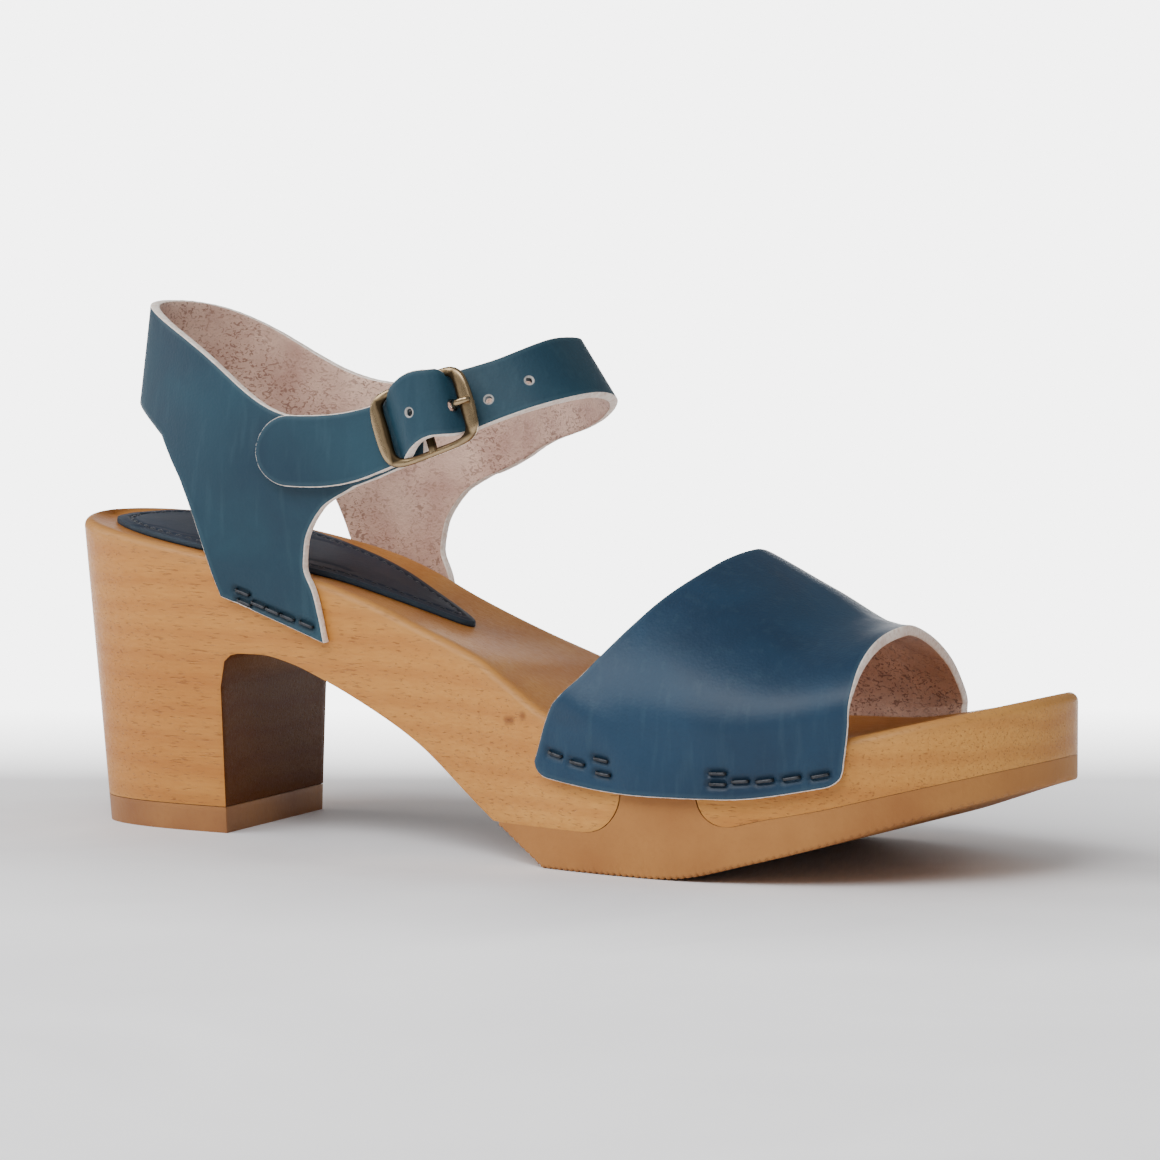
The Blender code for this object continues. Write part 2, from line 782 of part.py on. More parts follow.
def quarter_plain(t, z):
    """The quarter's outer face at row t of its path and height z, without the bulge at the buckle."""
    row = path_rows(min(t, TAIL_START + 3))
    up = max(z - ANKLE_LEVEL, 0) / (BACK_HEIGHT - ANKLE_LEVEL)
    x = mix(row[0], row[2], up) * LENGTH
    y = mix(row[1], row[3], up) * BALL_WIDTH / 2
    if t < OUTER_LEG[1] + 1 or INNER_LEG[1] - 1 < t < INNER_LEG[0] + 1:
        side = OUTER if t < OUTER_LEG[1] + 1 else INNER
        down = smoothstep(ANKLE_LEVEL, edge_height(x, side), z) if z < ANKLE_LEVEL else 0.0
        edge = sole_outline.edges(x)[side - 1]
        edge -= math.copysign(lean(x, z, (0.0, 1.0), side), edge)
        y = mix(y, edge + math.copysign(GAP + WALL, edge), down)
    # The tail laps over the quarter by a wall and a small gap
    lapped = smoothstep(TAIL_START - 2.2, TAIL_START - 0.4, t)
    return np.array(world(x, y - (WALL + LAP) * lapped, z))


def bulge(distance):
    """The strap's rise off its plain face over the centre bar."""
    share = abs(distance) / (FRAME_LENGTH / 2 - BAR_WIDTH + GAP)
    return STRAP_BULGE * (1 - share**3.2) ** 2 if share < 1 else 0.0


def plain_normal(t, z):
    outer, inner = with_wall(quarter_plain, t, z)
    return (outer - inner) / WALL


# The buckle's own axes: its centre on the strap's outer face, off the strap, along it, across it
BUCKLE_CENTRE = quarter_plain(BUCKLE_ROW, BUCKLE_HEIGHT)
OFF_STRAP = plain_normal(BUCKLE_ROW, BUCKLE_HEIGHT)
LEVEL = np.cross((0.0, 0.0, 1.0), OFF_STRAP)
LEVEL /= np.linalg.norm(LEVEL)
UPWARD = np.cross(OFF_STRAP, LEVEL)
ALONG = LEVEL * math.cos(BUCKLE_SLOPE) + UPWARD * math.sin(BUCKLE_SLOPE)
ACROSS_STRAP = np.cross(OFF_STRAP, ALONG)


# The frame's opening is the strap's width and a little play on either side
STRAP_WIDTH = float(np.diff(path_rows(BUCKLE_ROW)[4:6])[0]) * BACK_HEIGHT * math.cos(BUCKLE_SLOPE)
FRAME_WIDTH = STRAP_WIDTH + 2 * (STRAP_PLAY + RAIL_WIDTH)


def on_buckle(along, across, lift):
    return BUCKLE_CENTRE + along * ALONG + across * ACROSS_STRAP + (BUCKLE_LIFT + lift) * OFF_STRAP


def quarter_surface(t, z):
    """The quarter's outer face; over the buckle's centre bar the strap bulges and rides up a little."""
    point = quarter_plain(t, z)
    if t < TAIL_START - 3:
        return point
    away = float(np.dot(point - BUCKLE_CENTRE, ALONG))
    rise = STRAP_RISE * max(1 - (away / RISE_REACH) ** 2, 0) ** 2
    return point + bulge(away) * plain_normal(t, z) + np.array([0.0, 0.0, rise])


def band_edges(t):
    """The band's lower and upper edge, rounded off at the tail."""
    low, high = path_rows(t)[4:6] * BACK_HEIGHT
    left = (TAIL_END - t) * abs(path_rows(TAIL_START + 2)[0] - path_rows(TAIL_START + 1)[0]) * LENGTH
    if left < TAIL_ROUND:
        into = 1 - max(left, 0) / TAIL_ROUND
        half = (high - low) / 2 * math.sqrt(1 - min(into, 0.985) ** 2)
        middle = (high + low) / 2
        low, high = middle - half, middle + half
    return low, high


def leg_grid(rows):
    """The leg's grid of (row, height): across from the front to the rear edge, down from the band."""
    front_row, rear_row = rows
    band = between(front_row, rear_row, LEG_ACROSS)
    fine = np.linspace(front_row, rear_row, 200)
    places = [path_rows(t)[0] for t in fine]
    grid = [[(t, band_edges(t)[0]) for t in band]]
    for i in range(1, LEG_ROWS + 1):
        down = i / LEG_ROWS
        front, rear, front_z, rear_z = (edge(down) for edge in leg_edges)
        row = []
        for j, t in enumerate(band):
            share = (path_rows(t)[0] - places[0]) / (places[-1] - places[0])
            along = mix(front, rear, share)
            # The band's own lower edge fades into straight rows down the leg
            sag = band_edges(t)[0] - mix(band_edges(front_row)[0], band_edges(rear_row)[0], share)
            z = mix(front_z, rear_z, share) * BACK_HEIGHT + sag * (1 - down) ** 2
            row.append((float(np.interp(-along, [-p for p in places], fine)), z))
        grid.append(row)
    return grid


def make_quarter(leather):
    shell = Shell()
    legs = [between(*sorted(rows), LEG_ACROSS) for rows in (OUTER_LEG, INNER_LEG)]
    back = between(OUTER_LEG[1], INNER_LEG[1], BACK_STATIONS)
    buckle = between(TAIL_START - 3, TAIL_END - TAIL_ROWS, BUCKLE_STATIONS)
    stations = between(TAB_END, OUTER_LEG[0], 3)[:-1] + legs[0] + back[1:-1] + legs[1]
    stations += between(INNER_LEG[0], buckle[0], STRAP_STATIONS)[1:] + buckle[1:]
    stations += [TAIL_END - TAIL_ROWS * (1 - i / TAIL_STATIONS) ** 2 for i in range(1, TAIL_STATIONS + 1)]

    def columns(t):
        low, high = band_edges(t)
        return [with_wall(quarter_surface, t, z) for z in between(low, high, BAND_ROWS)]

    shell.grid([columns(t) for t in stations])
    for rows, turned in ((OUTER_LEG, False), (INNER_LEG, True)):
        grid = leg_grid(rows)
        if turned:
            grid = [list(reversed(row)) for row in grid]
        shell.grid([[with_wall(quarter_surface, t, z) for t, z in row] for row in grid])
    return shell.finish("quarter", leather)


def tube(mesh, centres, sizes, closed, sides=RING_SIDES):
    """A bar along points given as (along, across, lift), with a flat oval section of given sizes."""
    rows = []
    count = len(centres)
    for i, (along, across, lift) in enumerate(centres):
        width, thickness = sizes[i]
        before = centres[(i - 1) % count if closed else max(i - 1, 0)]
        after = centres[(i + 1) % count if closed else min(i + 1, count - 1)]
        run = np.array([after[0] - before[0], after[1] - before[1]])
        run /= np.linalg.norm(run)
        ring = []
        for k in range(sides):
            angle = 2 * math.pi * (k + 0.5) / sides
            out = width / 2 * math.cos(angle)
            up = thickness / 2 * math.sin(angle)
            ring.append(tuple(on_buckle(along + out * run[1], across - out * run[0], lift + up)))
        rows.append(ring + ring[:1])
    if closed:
        rows.append(rows[0])
    mesh.grid(rows)
    if not closed:
        for end in (rows[0], rows[-1]):
            centre = tuple(np.mean(end[:-1], axis=0))
            mesh.grid([end, [centre] * len(end)])


def frame_ring():
    """Centres and section sizes round the frame, from the middle of its front bar's corner."""
    half_length = (FRAME_LENGTH - BAR_WIDTH) / 2
    half_width = (FRAME_WIDTH - RAIL_WIDTH) / 2
    corner = FRAME_CORNER - BAR_WIDTH / 2
    last = RING_STEPS // 4 - 1
    centres = []
    sizes = []
    for quadrant, (sx, sy) in enumerate(((1, 1), (-1, 1), (-1, -1), (1, -1))):
        for i in range(last + 1):
            angle = math.pi / 2 * (quadrant + i / last)
            share = math.cos(angle) ** 2
            width = mix(RAIL_WIDTH, BAR_WIDTH, share)
            thickness = mix(RAIL_THICKNESS, BAR_THICKNESS, share)
            along = sx * (half_length - corner) + corner * math.cos(angle)
            across = sy * (half_width - corner) + corner * math.sin(angle)
            centres.append((along, across, thickness / 2))
            sizes.append((width, thickness))
    return centres, sizes


def make_frame(metal):
    ring = Mesh()
    tube(ring, *frame_ring(), closed=True)
    made = ring.finish("buckle_frame", metal, sharp=50)
    bar = Mesh()
    half_width = (FRAME_WIDTH - RAIL_WIDTH) / 2
    ends = [(0.0, across, CENTRE_BAR / 2) for across in between(-half_width, half_width, 6)]
    tube(bar, ends, [(CENTRE_BAR, CENTRE_BAR)] * len(ends), closed=False)
    inner_bar = bar.finish("buckle_centre_bar", metal, sharp=50)
    inner_bar.hide_render = True
    inner_bar.display_type = "WIRE"
    union = made.modifiers.new("centre bar", "BOOLEAN")
    union.operation = "UNION"
    union.object = inner_bar
    return made


def make_prong(metal):
    """The prong comes out of the strap's hole and rests on the frame's front bar."""
    mesh = Mesh()
    bar = (FRAME_LENGTH - BAR_WIDTH) / 2
    over_bar = BAR_THICKNESS + GAP + PRONG / 2
    over_strap = bulge(PRONG_ROOT) + 2 * GAP + PRONG / 2
    centres = []
    for i in range(5):
        along = mix(PRONG_ROOT, bar, i / 4)
        height = max(mix(over_strap, over_bar, i / 4), bulge(along) + GAP + PRONG / 2)
        centres.append((along, 0.0, height))
    centres.append((bar + BAR_WIDTH / 5, 0.0, over_bar))
    tube(mesh, centres, [(PRONG, PRONG)] * len(centres), closed=False)
    return mesh.finish("buckle_prong", metal, sharp=50)


def main():
    for old in list(bpy.data.objects):
        bpy.data.objects.remove(old)
    wood = material("wood", (0.62, 0.36, 0.15), 0.5)
    rubber = material("rubber", (0.45, 0.22, 0.09), 0.75)
    petrol = material("petrol_leather", (0.018, 0.066, 0.125), 0.42)
    sock = material("sock_leather", (0.035, 0.05, 0.075), 0.5)
    metal = material("antique_brass", (0.33, 0.25, 0.14), 0.4, 1.0)
    make_sole(wood)
    make_outsole(rubber)
    make_lift(rubber)
    make_sock(sock)
    make_vamp(petrol)
    make_quarter(petrol)
    make_frame(metal)
    make_prong(metal)


main()
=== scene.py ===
"""The clog sandal as its photograph shows it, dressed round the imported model.

Metres, +Z up, +X to the toe, +Y to the inner side. The origin is on the floor under the heel.
"""

import math

import bmesh
import bpy
import numpy as np
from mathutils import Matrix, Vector
from mathutils.kdtree import KDTree

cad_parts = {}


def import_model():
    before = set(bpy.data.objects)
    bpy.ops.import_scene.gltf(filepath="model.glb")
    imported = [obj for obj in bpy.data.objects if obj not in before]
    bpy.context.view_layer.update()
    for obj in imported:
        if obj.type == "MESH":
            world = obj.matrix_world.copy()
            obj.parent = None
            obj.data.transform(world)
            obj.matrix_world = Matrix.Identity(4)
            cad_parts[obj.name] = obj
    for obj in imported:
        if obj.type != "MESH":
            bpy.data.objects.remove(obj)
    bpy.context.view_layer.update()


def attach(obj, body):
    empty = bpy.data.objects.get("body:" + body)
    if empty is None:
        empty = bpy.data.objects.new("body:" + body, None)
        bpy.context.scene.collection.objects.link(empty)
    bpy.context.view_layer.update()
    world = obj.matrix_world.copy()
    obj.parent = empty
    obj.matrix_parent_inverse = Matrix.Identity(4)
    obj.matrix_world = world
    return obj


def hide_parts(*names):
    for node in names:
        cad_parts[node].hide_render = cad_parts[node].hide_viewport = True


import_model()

# The photograph's view
CAMERA = (0.7029, -1.0477, 0.1573)
SIGHT = (-1.74177, 3.02853, -0.282)
LENS = 167
SENSOR = 36
TARGET = (0.09, 0.0, 0.05)

# The columns of the outer and the inner side in the tables
SIDES = OUTER, INNER = range(1, 3)

# Sole
LENGTH = 0.248
BALL_WIDTH = 0.089
HEEL_SETBACK = 0.029
HEEL_HEIGHT = 0.0715
PLATFORM = 0.0278
TOE_HEIGHT = 0.0395
TOE_SPRING = 0.0205
ARCH_HEIGHT = 0.042
HEEL_BREAST = 0.0475
HEEL_SHOULDER = 0.034
HEEL_LEAN_BACK = 0.0065
HEEL_LEAN_SIDE = 0.005
BREAST_SKEW = 0.108
FOOTBED_DISH = 0.0012
RIM_RADIUS = 0.002
RUBBER = 0.009
RUBBER_TOE = 0.0055
RUBBER_EDGE = 0.0006
LIFT = 0.006
GROOVE_PLACE = 0.1742
GROOVE_WIDTH = 0.019
GROOVE_CORNER = 0.0095
GROOVE_ROOF = 0.0055
SOCK = 0.0016
GAP = 0.0003

# Leather upper
WALL = 0.0022
VAMP_OVERLAP = 0.0095
INSTEP = 0.0685
VAMP_CORNER = 0.0028
FLANK_RISE = {OUTER: 0.0045, INNER: 0.002}
LAP = 0.0004
BACK_HEIGHT = 0.1214
ANKLE_LEVEL = 0.085
TAIL_ROUND = 0.0085

# Buckle, measured along and across the strap
FRAME_LENGTH = 0.0255
STRAP_PLAY = 0.0008
BAR_WIDTH = 0.0033
BAR_THICKNESS = 0.0019
RAIL_WIDTH = 0.0016
RAIL_THICKNESS = 0.0012
CENTRE_BAR = 0.0019
STRAP_BULGE = 0.0052
STRAP_RISE = 0.0017
RISE_REACH = 0.0075
BUCKLE_ROW = 19.905
BUCKLE_SLOPE = math.radians(20.3)
BUCKLE_LIFT = 0.0005

# Shares of the sole's length and of half the ball's width, one row for each rib of the outline
OUTLINE = (
    # along, outer side, inner side
    (0.000, 0.000, 0.000),
    (0.005, -0.180, 0.180),
    (0.020, -0.371, 0.355),
    (0.052, -0.539, 0.512),
    (0.113, -0.652, 0.625),
    (0.194, -0.674, 0.652),
    (0.274, -0.674, 0.618),
    (0.355, -0.685, 0.573),
    (0.435, -0.730, 0.596),
    (0.516, -0.831, 0.697),
    (0.597, -0.944, 0.831),
    (0.677, -1.004, 0.944),
    (0.754, -1.007, 0.978),
    (0.823, -0.955, 0.928),
    (0.883, -0.843, 0.825),
    (0.935, -0.652, 0.663),
    (0.976, -0.382, 0.461),
    (0.996, -0.112, 0.258),
    (1.000, 0.079, 0.079),
)

# The footbed's edge above the platform, as shares of the heel's and of the toe's rise
FOOTBED = (
    # along, outer heel rise, inner heel rise, toe rise
    (0.000, 1.000, 1.000, 0.00),
    (0.073, 0.940, 0.955, 0.00),
    (0.195, 0.836, 0.850, 0.00),
    (0.266, 0.775, 0.765, 0.00),
    (0.306, 0.735, 0.690, 0.00),
    (0.355, 0.660, 0.570, 0.00),
    (0.431, 0.510, 0.390, 0.00),
    (0.496, 0.384, 0.235, 0.00),
    (0.524, 0.300, 0.150, 0.00),
    (0.585, 0.125, 0.052, 0.00),
    (0.690, 0.000, 0.000, 0.00),
    (0.770, 0.000, 0.000, 0.03),
    (0.870, 0.000, 0.000, 0.36),
    (0.923, 0.000, 0.000, 0.62),
    (0.962, 0.000, 0.000, 0.81),
    (1.000, 0.000, 0.000, 1.00),
)

# The underside from the heel's breast to the floor, as shares of the arch's height
ARCH = (
    # distance in front of the breast as a share of the length, height
    (0.000, 0.810),
    (0.004, 0.905),
    (0.012, 0.968),
    (0.025, 0.998),
    (0.055, 1.000),
    (0.088, 0.965),
    (0.123, 0.895),
    (0.177, 0.760),
    (0.236, 0.585),
    (0.304, 0.310),
    (0.360, 0.095),
    (0.383, 0.010),
    (0.390, -0.020),
)

# The rubber's underside from the ball to the toe, as shares of the toe spring and of its thinning
ROCKER = (
    # along, rise, thinning
    (0.700, 0.00, 0.00),
    (0.720, 0.02, 0.00),
    (0.790, 0.22, 0.00),
    (0.855, 0.44, 0.30),
    (0.895, 0.60, 0.50),
    (0.950, 0.82, 0.80),
    (1.000, 1.00, 1.00),
)

# The sock's outline, in the same shares as the sole's
SOCK_OUTLINE = (
    # along, outer side, inner side
    (0.030, 0.000, 0.000),
    (0.036, -0.157, 0.157),
    (0.052, -0.303, 0.303),
    (0.089, -0.449, 0.438),
    (0.137, -0.535, 0.500),
    (0.194, -0.555, 0.460),
    (0.250, -0.517, 0.370),
    (0.302, -0.427, 0.281),
    (0.351, -0.303, 0.180),
    (0.387, -0.195, 0.085),
    (0.409, -0.125, 0.000),
    (0.415, -0.060, -0.060),
)

# The vamp's crest over the foot
VAMP_CREST = (
    # along, height as a share of the instep's height, across as a share of half the ball's width
    (0.575, 1.185, 0.03),
    (0.640, 1.090, 0.03),
    (0.702, 1.000, 0.02),
    (0.758, 0.902, 0.02),
    (0.823, 0.795, -0.04),
    (0.851, 0.783, -0.10),
    (0.880, 0.785, -0.17),
)

# The vamp's two open edges from the outer side over the crest to the inner side
VAMP_EDGES = (
    # place around the section, rear edge along, front edge along
    (0.00, 0.576, 0.874),
    (0.13, 0.598, 0.878),
    (0.20, 0.626, 0.878),
    (0.30, 0.664, 0.875),
    (0.40, 0.692, 0.870),
    (0.50, 0.702, 0.865),
    (0.60, 0.697, 0.850),
    (0.70, 0.678, 0.837),
    (0.80, 0.650, 0.829),
    (0.87, 0.630, 0.828),
    (1.00, 0.612, 0.826),
)

FLANK_SHARE = 0.74
CORNER_REACH = 0.05
ROUNDNESS = {
    # the section's roundness at the rear and at the front edge, 2 being an ellipse
    OUTER: (1.6, 2.1),
    INNER: (1.6, 1.5),
}

# The quarter and its strap: one row for each station of the path round the ankle, starting at
# the buckle on the outer side and going round the heel's back. Plan places are shares of the
# length and of half the ball's width, at the ankle level and at the back's height; the edges
# are shares of the back's height.
PATH = (
    # along, across, along above, across above, lower edge, upper edge
    (0.440, -0.742, 0.438, -0.685, 0.735, 0.828),
    (0.363, -0.753, 0.363, -0.690, 0.671, 0.808),
    (0.282, -0.753, 0.284, -0.670, 0.640, 0.800),
    (0.205, -0.722, 0.210, -0.625, 0.664, 0.882),
    (0.134, -0.600, 0.141, -0.505, 0.750, 0.951),
    (0.076, -0.360, 0.090, -0.305, 0.804, 0.988),
    (0.054, 0.000, 0.069, 0.000, 0.815, 0.997),
    (0.076, 0.370, 0.090, 0.315, 0.802, 0.985),
    (0.129, 0.600, 0.141, 0.530, 0.741, 0.931),
    (0.202, 0.690, 0.208, 0.640, 0.660, 0.855),
    (0.282, 0.708, 0.282, 0.675, 0.640, 0.834),
    (0.363, 0.700, 0.352, 0.635, 0.668, 0.846),
    (0.431, 0.618, 0.392, 0.494, 0.730, 0.868),
    (0.507, 0.450, 0.442, 0.348, 0.771, 0.900),
    (0.573, 0.250, 0.484, 0.146, 0.815, 0.929),
    (0.606, 0.010, 0.501, -0.022, 0.838, 0.942),
    (0.622, -0.225, 0.503, -0.225, 0.847, 0.945),
    (0.605, -0.500, 0.498, -0.400, 0.840, 0.936),
    (0.566, -0.670, 0.465, -0.570, 0.817, 0.907),
    (0.508, -0.725, 0.440, -0.650, 0.783, 0.884),
    (0.440, -0.742, 0.438, -0.685, 0.739, 0.857),
    (0.363, -0.753, 0.363, -0.690, 0.679, 0.808),
    (0.282, -0.753, 0.284, -0.670, 0.671, 0.798),
    (0.202, -0.722, 0.210, -0.625, 0.680, 0.790),
)
TAB_END = 0.05
TAIL_START = 20
TAIL_END = 22.22
TAIL_ROWS = 0.45
OUTER_LEG = (1, 4)
INNER_LEG = (11, 8)

# The legs' free edges below the band, from the band down to the wood
LEG = (
    # down the leg, front edge's drift, rear edge's drift, front height, rear height
    (0.00, 0.363, 0.134, 0.671, 0.750),
    (0.20, 0.328, 0.168, 0.628, 0.665),
    (0.45, 0.309, 0.187, 0.560, 0.598),
    (0.62, 0.307, 0.199, 0.518, 0.540),
    (0.80, 0.317, 0.207, 0.467, 0.495),
    (1.00, 0.327, 0.215, 0.378, 0.455),
)

# Counts of facets
ACROSS = 28
RIM_STEPS = 8
ROUND_STEPS = 4
WALL_ROWS = 10
HEEL_ROWS = 8
HEEL_RIBS = 60
TOE_RIBS = 40
GROOVE_STEPS = 8
RIB_SPACING = 0.0022
SOCK_ALONG = 170
SOCK_ACROSS = 96
BAND_ROWS = 18
BACK_STATIONS = 56
STRAP_STATIONS = 110
BUCKLE_STATIONS = 120
TAIL_STATIONS = 24
LEG_ACROSS = 56
LEG_ROWS = 66
FLANK_ROWS = 22
VAMP_ALONG = 120
VAMP_AROUND = 90
RING_STEPS = 96
RIM_POINTS = 900
FINE = 1500
LOOP_POINTS = 2881

TAB_STATIONS = 12
VAMP_RIM_ROWS = 8
RUBBER_TOE_RIBS = 16
LIFT_ROWS = 4
PRONG_STEPS = 7
FLOOR_SIDES = 64

# Fine shapes of the wood and the rubber
WOOD_ROUND_TOE = 0.97
RUBBER_ROUND_TOE = 0.985
WOOD_BEVEL = 0.0002
LIFT_BEVEL = 0.0004
# Sanded wear and painted highlight on the footbed's rounded rim: its reach
RIM_TONE = 0.0016
# Painted shade on the footbed's top: its fade below the surface
TOP_SHADE_FADE = (-0.003, -0.0005)
# Painted shade under the arch and on the heel's breast: the faces it takes, its fade along the shoe and
# below the footbed
UNDER_FADE = (0.5, 0.9)
UNDER_SHADE_FADE = (0.16, 0.09)
UNDER_SHADE_DEPTH = (0.001, 0.003)
SEAM_FILL = 0.97

# Fine shapes of the rest
EDGE_DOME = 0.00022
SQUARENESS = 0.82
TOOTH = 0.0005
TOOTH_PITCH = 0.0016
TOOTH_RIBS = 5
TOOTH_SHARE = 0.4
TOOTH_FLANK = (0.25, 0.5)
RUBBER_CORNER = 0.0008
SOCK_ROUND = 0.0035
SOCK_CROWN = 0.0004
SOCK_CROWN_FADE = (0.003, 0.016)
SEAM_INSET = 0.0032
SEAM_DEPTH = 0.0005
SEAM_WIDTH = 0.0006
SEAM_SHADE = 0.5
CREASE_WAVE = 0.0007
CREASE_WAVES = 420
STITCH = 0.0022
STITCH_PITCH = 0.0031
STITCH_SINK = 0.00035
STITCH_ENDS = (0.35, 0.12)
THREAD_SIZE = 0.0005
STITCH_SHAPE = (
    # along, height and thickness as shares of the thread's size
    (0.0, -0.6, 0.4),
    (0.2, 0.1, 0.9),
    (0.5, 0.35, 1.0),
    (0.8, 0.1, 0.9),
    (1.0, -0.6, 0.4),
)
STAPLE = 0.0036
WIRE_WIDE = 0.0007
WIRE_HIGH = 0.00045
STAPLE_NEAR = 0.02
STAPLE_PATH = (
    # share of half its length, height
    (-1.0, -0.001),
    (-1.0, -0.0004),
    (-0.88, -0.00005),
    (0.88, -0.00005),
    (1.0, -0.0004),
    (1.0, -0.001),
)
QUARTER_STAPLE_RUN = (0.952, 0.0, -0.304)
SLOT_DEPTH = 0.0006
SLOT_WIDTH = 0.0009
DIMPLE_DEPTH = 0.00025
DIMPLE_WIDTH = 0.0028
HOLE_RADIUS = 0.0009
PRONG_HOLE_RADIUS = 0.0014
PUNCH_PLAY = 0.001
SOCK_RIM = 0.3
VAMP_RIM = 0.04
# Size, rise and turn of the leather's soft unevenness
VAMP_WAVES = (0.05, 0.00008, 0.4)
QUARTER_WAVES = (0.06, 0.00006, 1.7)

# Buckle
FRAME_SQUARENESS = 5.0
BAR_SWELL = 0.0037
BAR_TAPER = 0.35
BAR_FADE = (0.55, 1.0)
COVER = 0.0016
COVER_FADE = (0.12, 0.6)
PRONG_SIZE = 0.0016
PRONG_START = 0.0078
PRONG_TAPER = (1.15, 0.9)
PRONG_LEVEL = 0.8
PRONG_ROOTS = (
    # way to the front bar, height in leather walls, height in the prong's thickness
    (-0.08, -1.0, 0.0),
    (0.0, -0.3, 0.0),
    (0.12, 0.0, 0.2),
)
PRONG_TIP = (
    # over the front bar as a share of its width, drop in the prong's thickness
    (0.2, 0.1),
    (0.34, 0.3),
    (0.4, 0.55),
)

# Place round the vamp's section, place along it
VAMP_STAPLES = (
    (0.0421, 0.0539),
    (0.0394, 0.1392),
    (0.0578, 0.2208),
    (0.0314, 0.2391),
    (0.0509, 0.6232),
    (0.0295, 0.6290),
    (0.0348, 0.6991),
    (0.0318, 0.7745),
    (0.0295, 0.8545),
    (0.0249, 0.9362),
)

# Row of the quarter's path, height
QUARTER_STAPLES = (
    (2.556, 0.05625),
    (2.540, 0.05395),
    (2.340, 0.05360),
    (2.140, 0.05235),
    (1.940, 0.05110),
    (1.684, 0.04973),
)

# Row, height and radius; the prong's hole is the wide one
HOLES = (
    (20.020, 0.09620, HOLE_RADIUS),
    (19.240, 0.09975, PRONG_HOLE_RADIUS),
    (18.477, 0.10155, HOLE_RADIUS),
    (17.567, 0.10569, HOLE_RADIUS),
)

# Start and end of a soft fold round and along the vamp, its width and rise
VAMP_FOLDS = (
    ((0.155, 0.02), (0.060, 0.34), 0.0045, 0.0007),
    ((0.125, 0.30), (0.085, 0.52), 0.0050, -0.0003),
    ((0.360, 0.25), (0.300, 0.80), 0.0090, 0.0003),
)

# Start and end in plan, width and depth
SOCK_CREASES = (
    ((-0.012, -0.0195), (0.028, -0.0200), 0.0009, 0.0003),
    ((-0.006, -0.0160), (0.022, -0.0165), 0.0007, 0.0002),
    ((0.020, -0.0150), (0.046, -0.0105), 0.0009, 0.0003),
    ((0.002, 0.0150), (0.030, 0.0110), 0.0009, 0.0002),
)

KNOTS = ((0.1038, -0.0383, 0.0317), (0.1052, -0.0386, 0.0318), (0.1086, -0.0395, 0.0331))


def tone(red, green, blue):
    """A colour given in display values from 0 to 255."""
    levels = (value / 255 for value in (red, green, blue))
    return tuple(v / 12.92 if v <= 0.04045 else ((v + 0.055) / 1.055) ** 2.4 for v in levels)


WOOD_LIGHT = tone(203, 145, 71)
WOOD_DEEP = tone(183, 121, 52)
WOOD_RING = tone(161, 95, 40)
WOOD_PORE = tone(118, 64, 24)
# Sanded wear and painted highlight on the footbed's rim
WOOD_RIM_WEAR_AND_HIGHLIGHT = tone(212, 165, 97)
# Painted shade under the arch and on the heel's breast
WOOD_UNDER_SHADE = tone(65, 25, 5)
# Painted shade on the footbed's top
WOOD_SHADE = tone(140, 84, 34)
RUBBER_LIGHT = tone(173, 118, 57)
RUBBER_DEEP = tone(153, 97, 42)
LIFT_LIGHT = tone(158, 106, 55)
LIFT_DEEP = tone(133, 84, 42)
PETROL_LIGHT = tone(16, 52, 77)
PETROL_DEEP = tone(11, 38, 61)
STRAP_LIGHT = tone(27, 62, 77)
STRAP_DEEP = tone(17, 46, 63)
LEATHER_WORN = tone(88, 116, 124)
# Crushed leather with painted shade, in the staples' slots and the sock's seam groove
LEATHER_CRUSHED_AND_SHADED = tone(4, 10, 16)
SOCK_LIGHT = tone(40, 52, 68)
SOCK_DEEP = tone(26, 34, 49)
THREAD = tone(22, 28, 38)
SUEDE_LIGHT = tone(223, 189, 169)
SUEDE_DARK = tone(184, 146, 130)
SUEDE_FLECK = tone(112, 76, 62)
RAW_EDGE = tone(252, 242, 232)
RAW_SHADE = tone(226, 204, 188)
BRASS_BRIGHT = tone(160, 138, 106)
BRASS_DARK = tone(58, 47, 32)
STEEL_BRIGHT = tone(92, 94, 98)
STEEL_DARK = tone(20, 22, 28)
FLOOR_LIGHT = tone(240, 240, 242)
FLOOR_DARK = tone(226, 225, 228)

# The white backdrop: its strength, its way from the camera's foot and the fading of its sides (as the
# cosine of the angle off that way), of its start on the floor (as the depth) and of its top in the sky
BACKDROP = 5.5
BACKDROP_WAY = (-0.4985, 0.8668, 0.0)
BACKDROP_REACH = (0.965, 0.985)
FLOOR_FADE = (1.33, 1.50)
SKY_FADE = (0.14, 0.30)
SKY_DIM = 0.32

# The floor's painted glow, which fades in with the distance from the shoe and so leaves a painted shadow
# round it, counted in its half sizes
FLOOR_RINGS = (0, 0.1, 0.2, 0.3, 0.45, 0.7, 1.2, 2.5, 6, 14)
FLOOR_SPREAD = (7.0, 12.0, 0.0)
FLOOR_GLOW_AND_SHADOW = (0.7, 1.9, 0.0, 0.55)

# Name, place, size, power
LIGHTS = (
    ("key", (-0.70, -1.05, 1.25), (1.2, 1.2), 20),
    ("front", (0.40, -1.25, 1.45), (1.0, 1.0), 20),
    ("left", (-1.60, -0.25, 0.70), (0.5, 0.8), 6),
)


